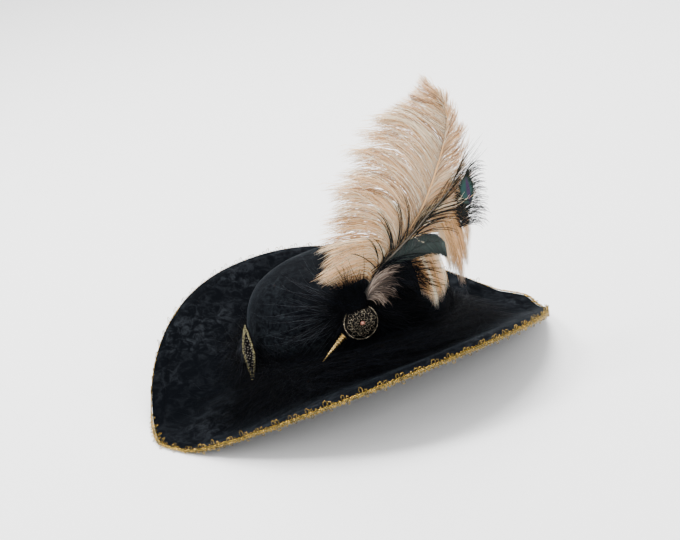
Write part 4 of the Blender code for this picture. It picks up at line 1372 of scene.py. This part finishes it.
brooch_gold = metal_material("antique_gold", (0.50, 0.43, 0.30), (0.08, 0.06, 0.035), 0.28, 1100.0)
dome_dark = metal_material("brooch_ground", (0.012, 0.011, 0.010), (0.004, 0.004, 0.004), 0.5, 500.0)
copper = metal_material("copper_bead", (0.42, 0.19, 0.14), (0.12, 0.05, 0.04), 0.3, 900.0)
finish_node("brooch_dome", dome_dark)
finish_node("brooch_bead", copper)


def dome_lift(radius):
    """Height of the dome's face above the brooch's back, at a radius in mm."""
    full = BROOCH_RADIUS / MM
    edge = full - 2.0 * BROOCH_RIM / MM - GAP / MM
    base = (BROOCH_RIM - BROOCH_DOME * math.sqrt(1.0 - (edge / full) ** 2)) / MM
    return base + BROOCH_DOME / MM * np.sqrt(np.maximum(0.0, 1.0 - (radius / full) ** 2))


def on_dome(x, y, proud):
    return on_hat(np.stack([x, y, dome_lift(np.hypot(x, y)) + proud], axis=-1))


def scroll(centre_turn, centre_radius, size, turns_made, start_angle, hand):
    """Spiral of wire lying on the dome."""
    s = np.linspace(0.0, 1.0, 26)
    angle = start_angle + hand * s * TAU * turns_made
    radius = size * (1.0 - 0.82 * s)
    x = centre_radius * math.cos(centre_turn) + radius * np.cos(angle)
    y = centre_radius * math.sin(centre_turn) + radius * np.sin(angle)
    return on_dome(x, y, 0.35 + 0.25 * s)


scrolls = []
rng = np.random.default_rng(101)
for count, radius, size in ((8, 12.4, 3.6), (5, 7.2, 3.0)):
    for petal in range(count):
        turn = TAU * petal / count + rng.uniform(-0.12, 0.12)
        hand = 1.0 if petal % 2 else -1.0
        scrolls.append(scroll(turn, radius + rng.uniform(-0.5, 0.5), size, 1.25, turn + hand * 1.4, hand))
        between = turn + TAU / count / 2.0
        scrolls.append(scroll(between, radius - 1.2, size * 0.72, 1.1, turn - hand * 2.0, -hand))
wires = tube_mesh("brooch_filigree", scrolls, 0.24 * MM, sides=6, facing=facing_out[:], lay=1.4 * MM)
# The second colour is painted shade for the gaps between the plies.
brooch_wire = thread_material("brooch_wire", (0.62, 0.55, 0.42), (0.03, 0.022, 0.012), plies=1.0,
                              roughness=0.24)
dress(wires, brooch_wire, "antique_gold", "brooch_rim")

RIM_RADIUS = (BROOCH_RADIUS - BROOCH_RIM) / MM
ROPE_REACH = 0.35                        # of its plies from the rope's middle, in mm
ring_turns = np.linspace(0.0, TAU, 240, endpoint=False)
rope = []
for ply in range(3):
    twist = ring_turns * 30.0 + ply * TAU / 3.0
    radius = RIM_RADIUS + ROPE_REACH * np.cos(twist)
    route = level(radius * np.cos(ring_turns), radius * np.sin(ring_turns))
    route[:, 2] = BROOCH_RIM / MM + ROPE_REACH * np.sin(twist)
    rope.append(on_hat(route))
rim = tube_mesh("brooch_rope_rim", rope, 0.28 * MM, sides=6, closed=True, facing=facing_out[:], lay=1.6 * MM)
dress(rim, brooch_wire, "antique_gold")

granules = []
for count, radius, shift in ((20, 10.4, 0.1), (8, 3.3, 0.0)):
    for angle in TAU * np.arange(count) / count + shift:
        granules.append(on_dome(radius * math.cos(angle), radius * math.sin(angle), 0.55))
grains = bead_mesh("brooch_granules", np.array(granules), 0.45 * MM)
dress(grains, brooch_gold, "antique_gold")

# Spike: ridged horn.

spike_gold = metal_material("spike_gold", (0.52, 0.36, 0.14), (0.04, 0.024, 0.008), 0.24, 600.0)


def spike_matrix():
    direction = Vector((-0.78, -0.62, 0.0)).normalized()
    root_direction = Vector((-0.92, -0.42, 0.0)).normalized()
    out = Vector((0.0, 0.0, 1.0))
    root = root_direction * (BROOCH_RADIUS + SPIKE_RADIUS * 0.45 + GAP) + out * 2.0 * MM
    local = Matrix((out.cross(direction), out, direction)).transposed().to_4x4()
    return ornament_matrix() @ Matrix.Translation(root) @ local


def horn(u, v):
    turn = u * TAU
    ridge = np.abs(np.cos(TAU * 6.0 * v ** 0.92 + turn / 2.0))
    radius = SPIKE_RADIUS * (1.0 - v) ** 0.92 * (0.66 + 0.34 * ridge) * np.clip(v * 40.0, 0.0, 1.0)
    return np.stack([radius * np.cos(turn), radius * np.sin(turn), SPIKE_LENGTH * v], axis=1)


spike = bent_grid("brooch_horn", 28, 150, horn, lambda c: Vector((c.x, c.y, 0.0)))
dress(move(spike, spike_matrix()), spike_gold, "spike_gold", "brooch_spike")

# Floor, light and camera.

floor_material, _, _ = new_material("pale_floor", Base_Color=(0.97, 0.97, 0.97, 1.0), Roughness=0.9)
bpy.ops.mesh.primitive_plane_add(size=30.0, location=(0.0, 0.0, cad_low.z - 0.2 * MM))
floor = bpy.context.active_object
floor.name = "floor"
floor.data.materials.append(floor_material)

world = bpy.data.worlds.new("soft_studio")
world.use_nodes = True
sky = world.node_tree.nodes["Background"].inputs
sky["Color"].default_value = (1.0, 1.0, 1.0, 1.0)
sky["Strength"].default_value = 1.35
bpy.context.scene.world = world

# The camera stands this way round from the wearer's left side.
VIEW_TURN = math.radians(30.3)
VIEW_ELEVATION = math.radians(23.4)
VIEW_ROLL = math.radians(8.66)
VIEW_DISTANCE = 1.6
AIM_LEFT = 10.9 * MM                     # of the target
AIM_UP = 69.3 * MM
target = Vector((0.0, 0.0, 0.029))
level_right = Vector((math.sin(VIEW_TURN), math.cos(VIEW_TURN), 0.0))
level_away = Vector((-math.cos(VIEW_TURN), math.sin(VIEW_TURN), 0.0))
away = level_away * math.cos(VIEW_ELEVATION) - Vector((0.0, 0.0, math.sin(VIEW_ELEVATION)))
upright = level_right.cross(away)
right = level_right * math.cos(VIEW_ROLL) - upright * math.sin(VIEW_ROLL)
upward = level_right * math.sin(VIEW_ROLL) + upright * math.cos(VIEW_ROLL)
eye_place = target - away * VIEW_DISTANCE
aim = (target - right * AIM_LEFT + upward * AIM_UP - eye_place).normalized()
right = (right - aim * right.dot(aim)).normalized()
camera_data = bpy.data.cameras.new("camera")
camera_data.lens = 85.55
camera_data.sensor_width = 36.0
camera = bpy.data.objects.new("camera", camera_data)
camera_turn = Matrix((right, right.cross(aim), -aim)).transposed().to_4x4()
camera.matrix_world = Matrix.Translation(eye_place) @ camera_turn
bpy.context.scene.collection.objects.link(camera)
bpy.context.scene.camera = camera


def soft_light(name, place, size, power):
    """A round light, as wide as size, that faces the hat."""
    data = bpy.data.lights.new(name, "AREA")
    data.shape = "DISK"
    data.size = size
    data.energy = power
    light = bpy.data.objects.new(name, data)
    light.location = place
    light.rotation_euler = (-Vector(place)).to_track_quat("-Z", "Y").to_euler()
    bpy.context.scene.collection.objects.link(light)


soft_light("key", (-0.7, -1.2, 2.2), 0.9, 68.0)
soft_light("top", (-0.5, 0.4, 2.4), 1.6, 92.0)
soft_light("fill", (2.2, 0.4, 1.3), 1.2, 24.0)
soft_light("back", (-1.6, 1.3, 1.6), 1.2, 24.0)
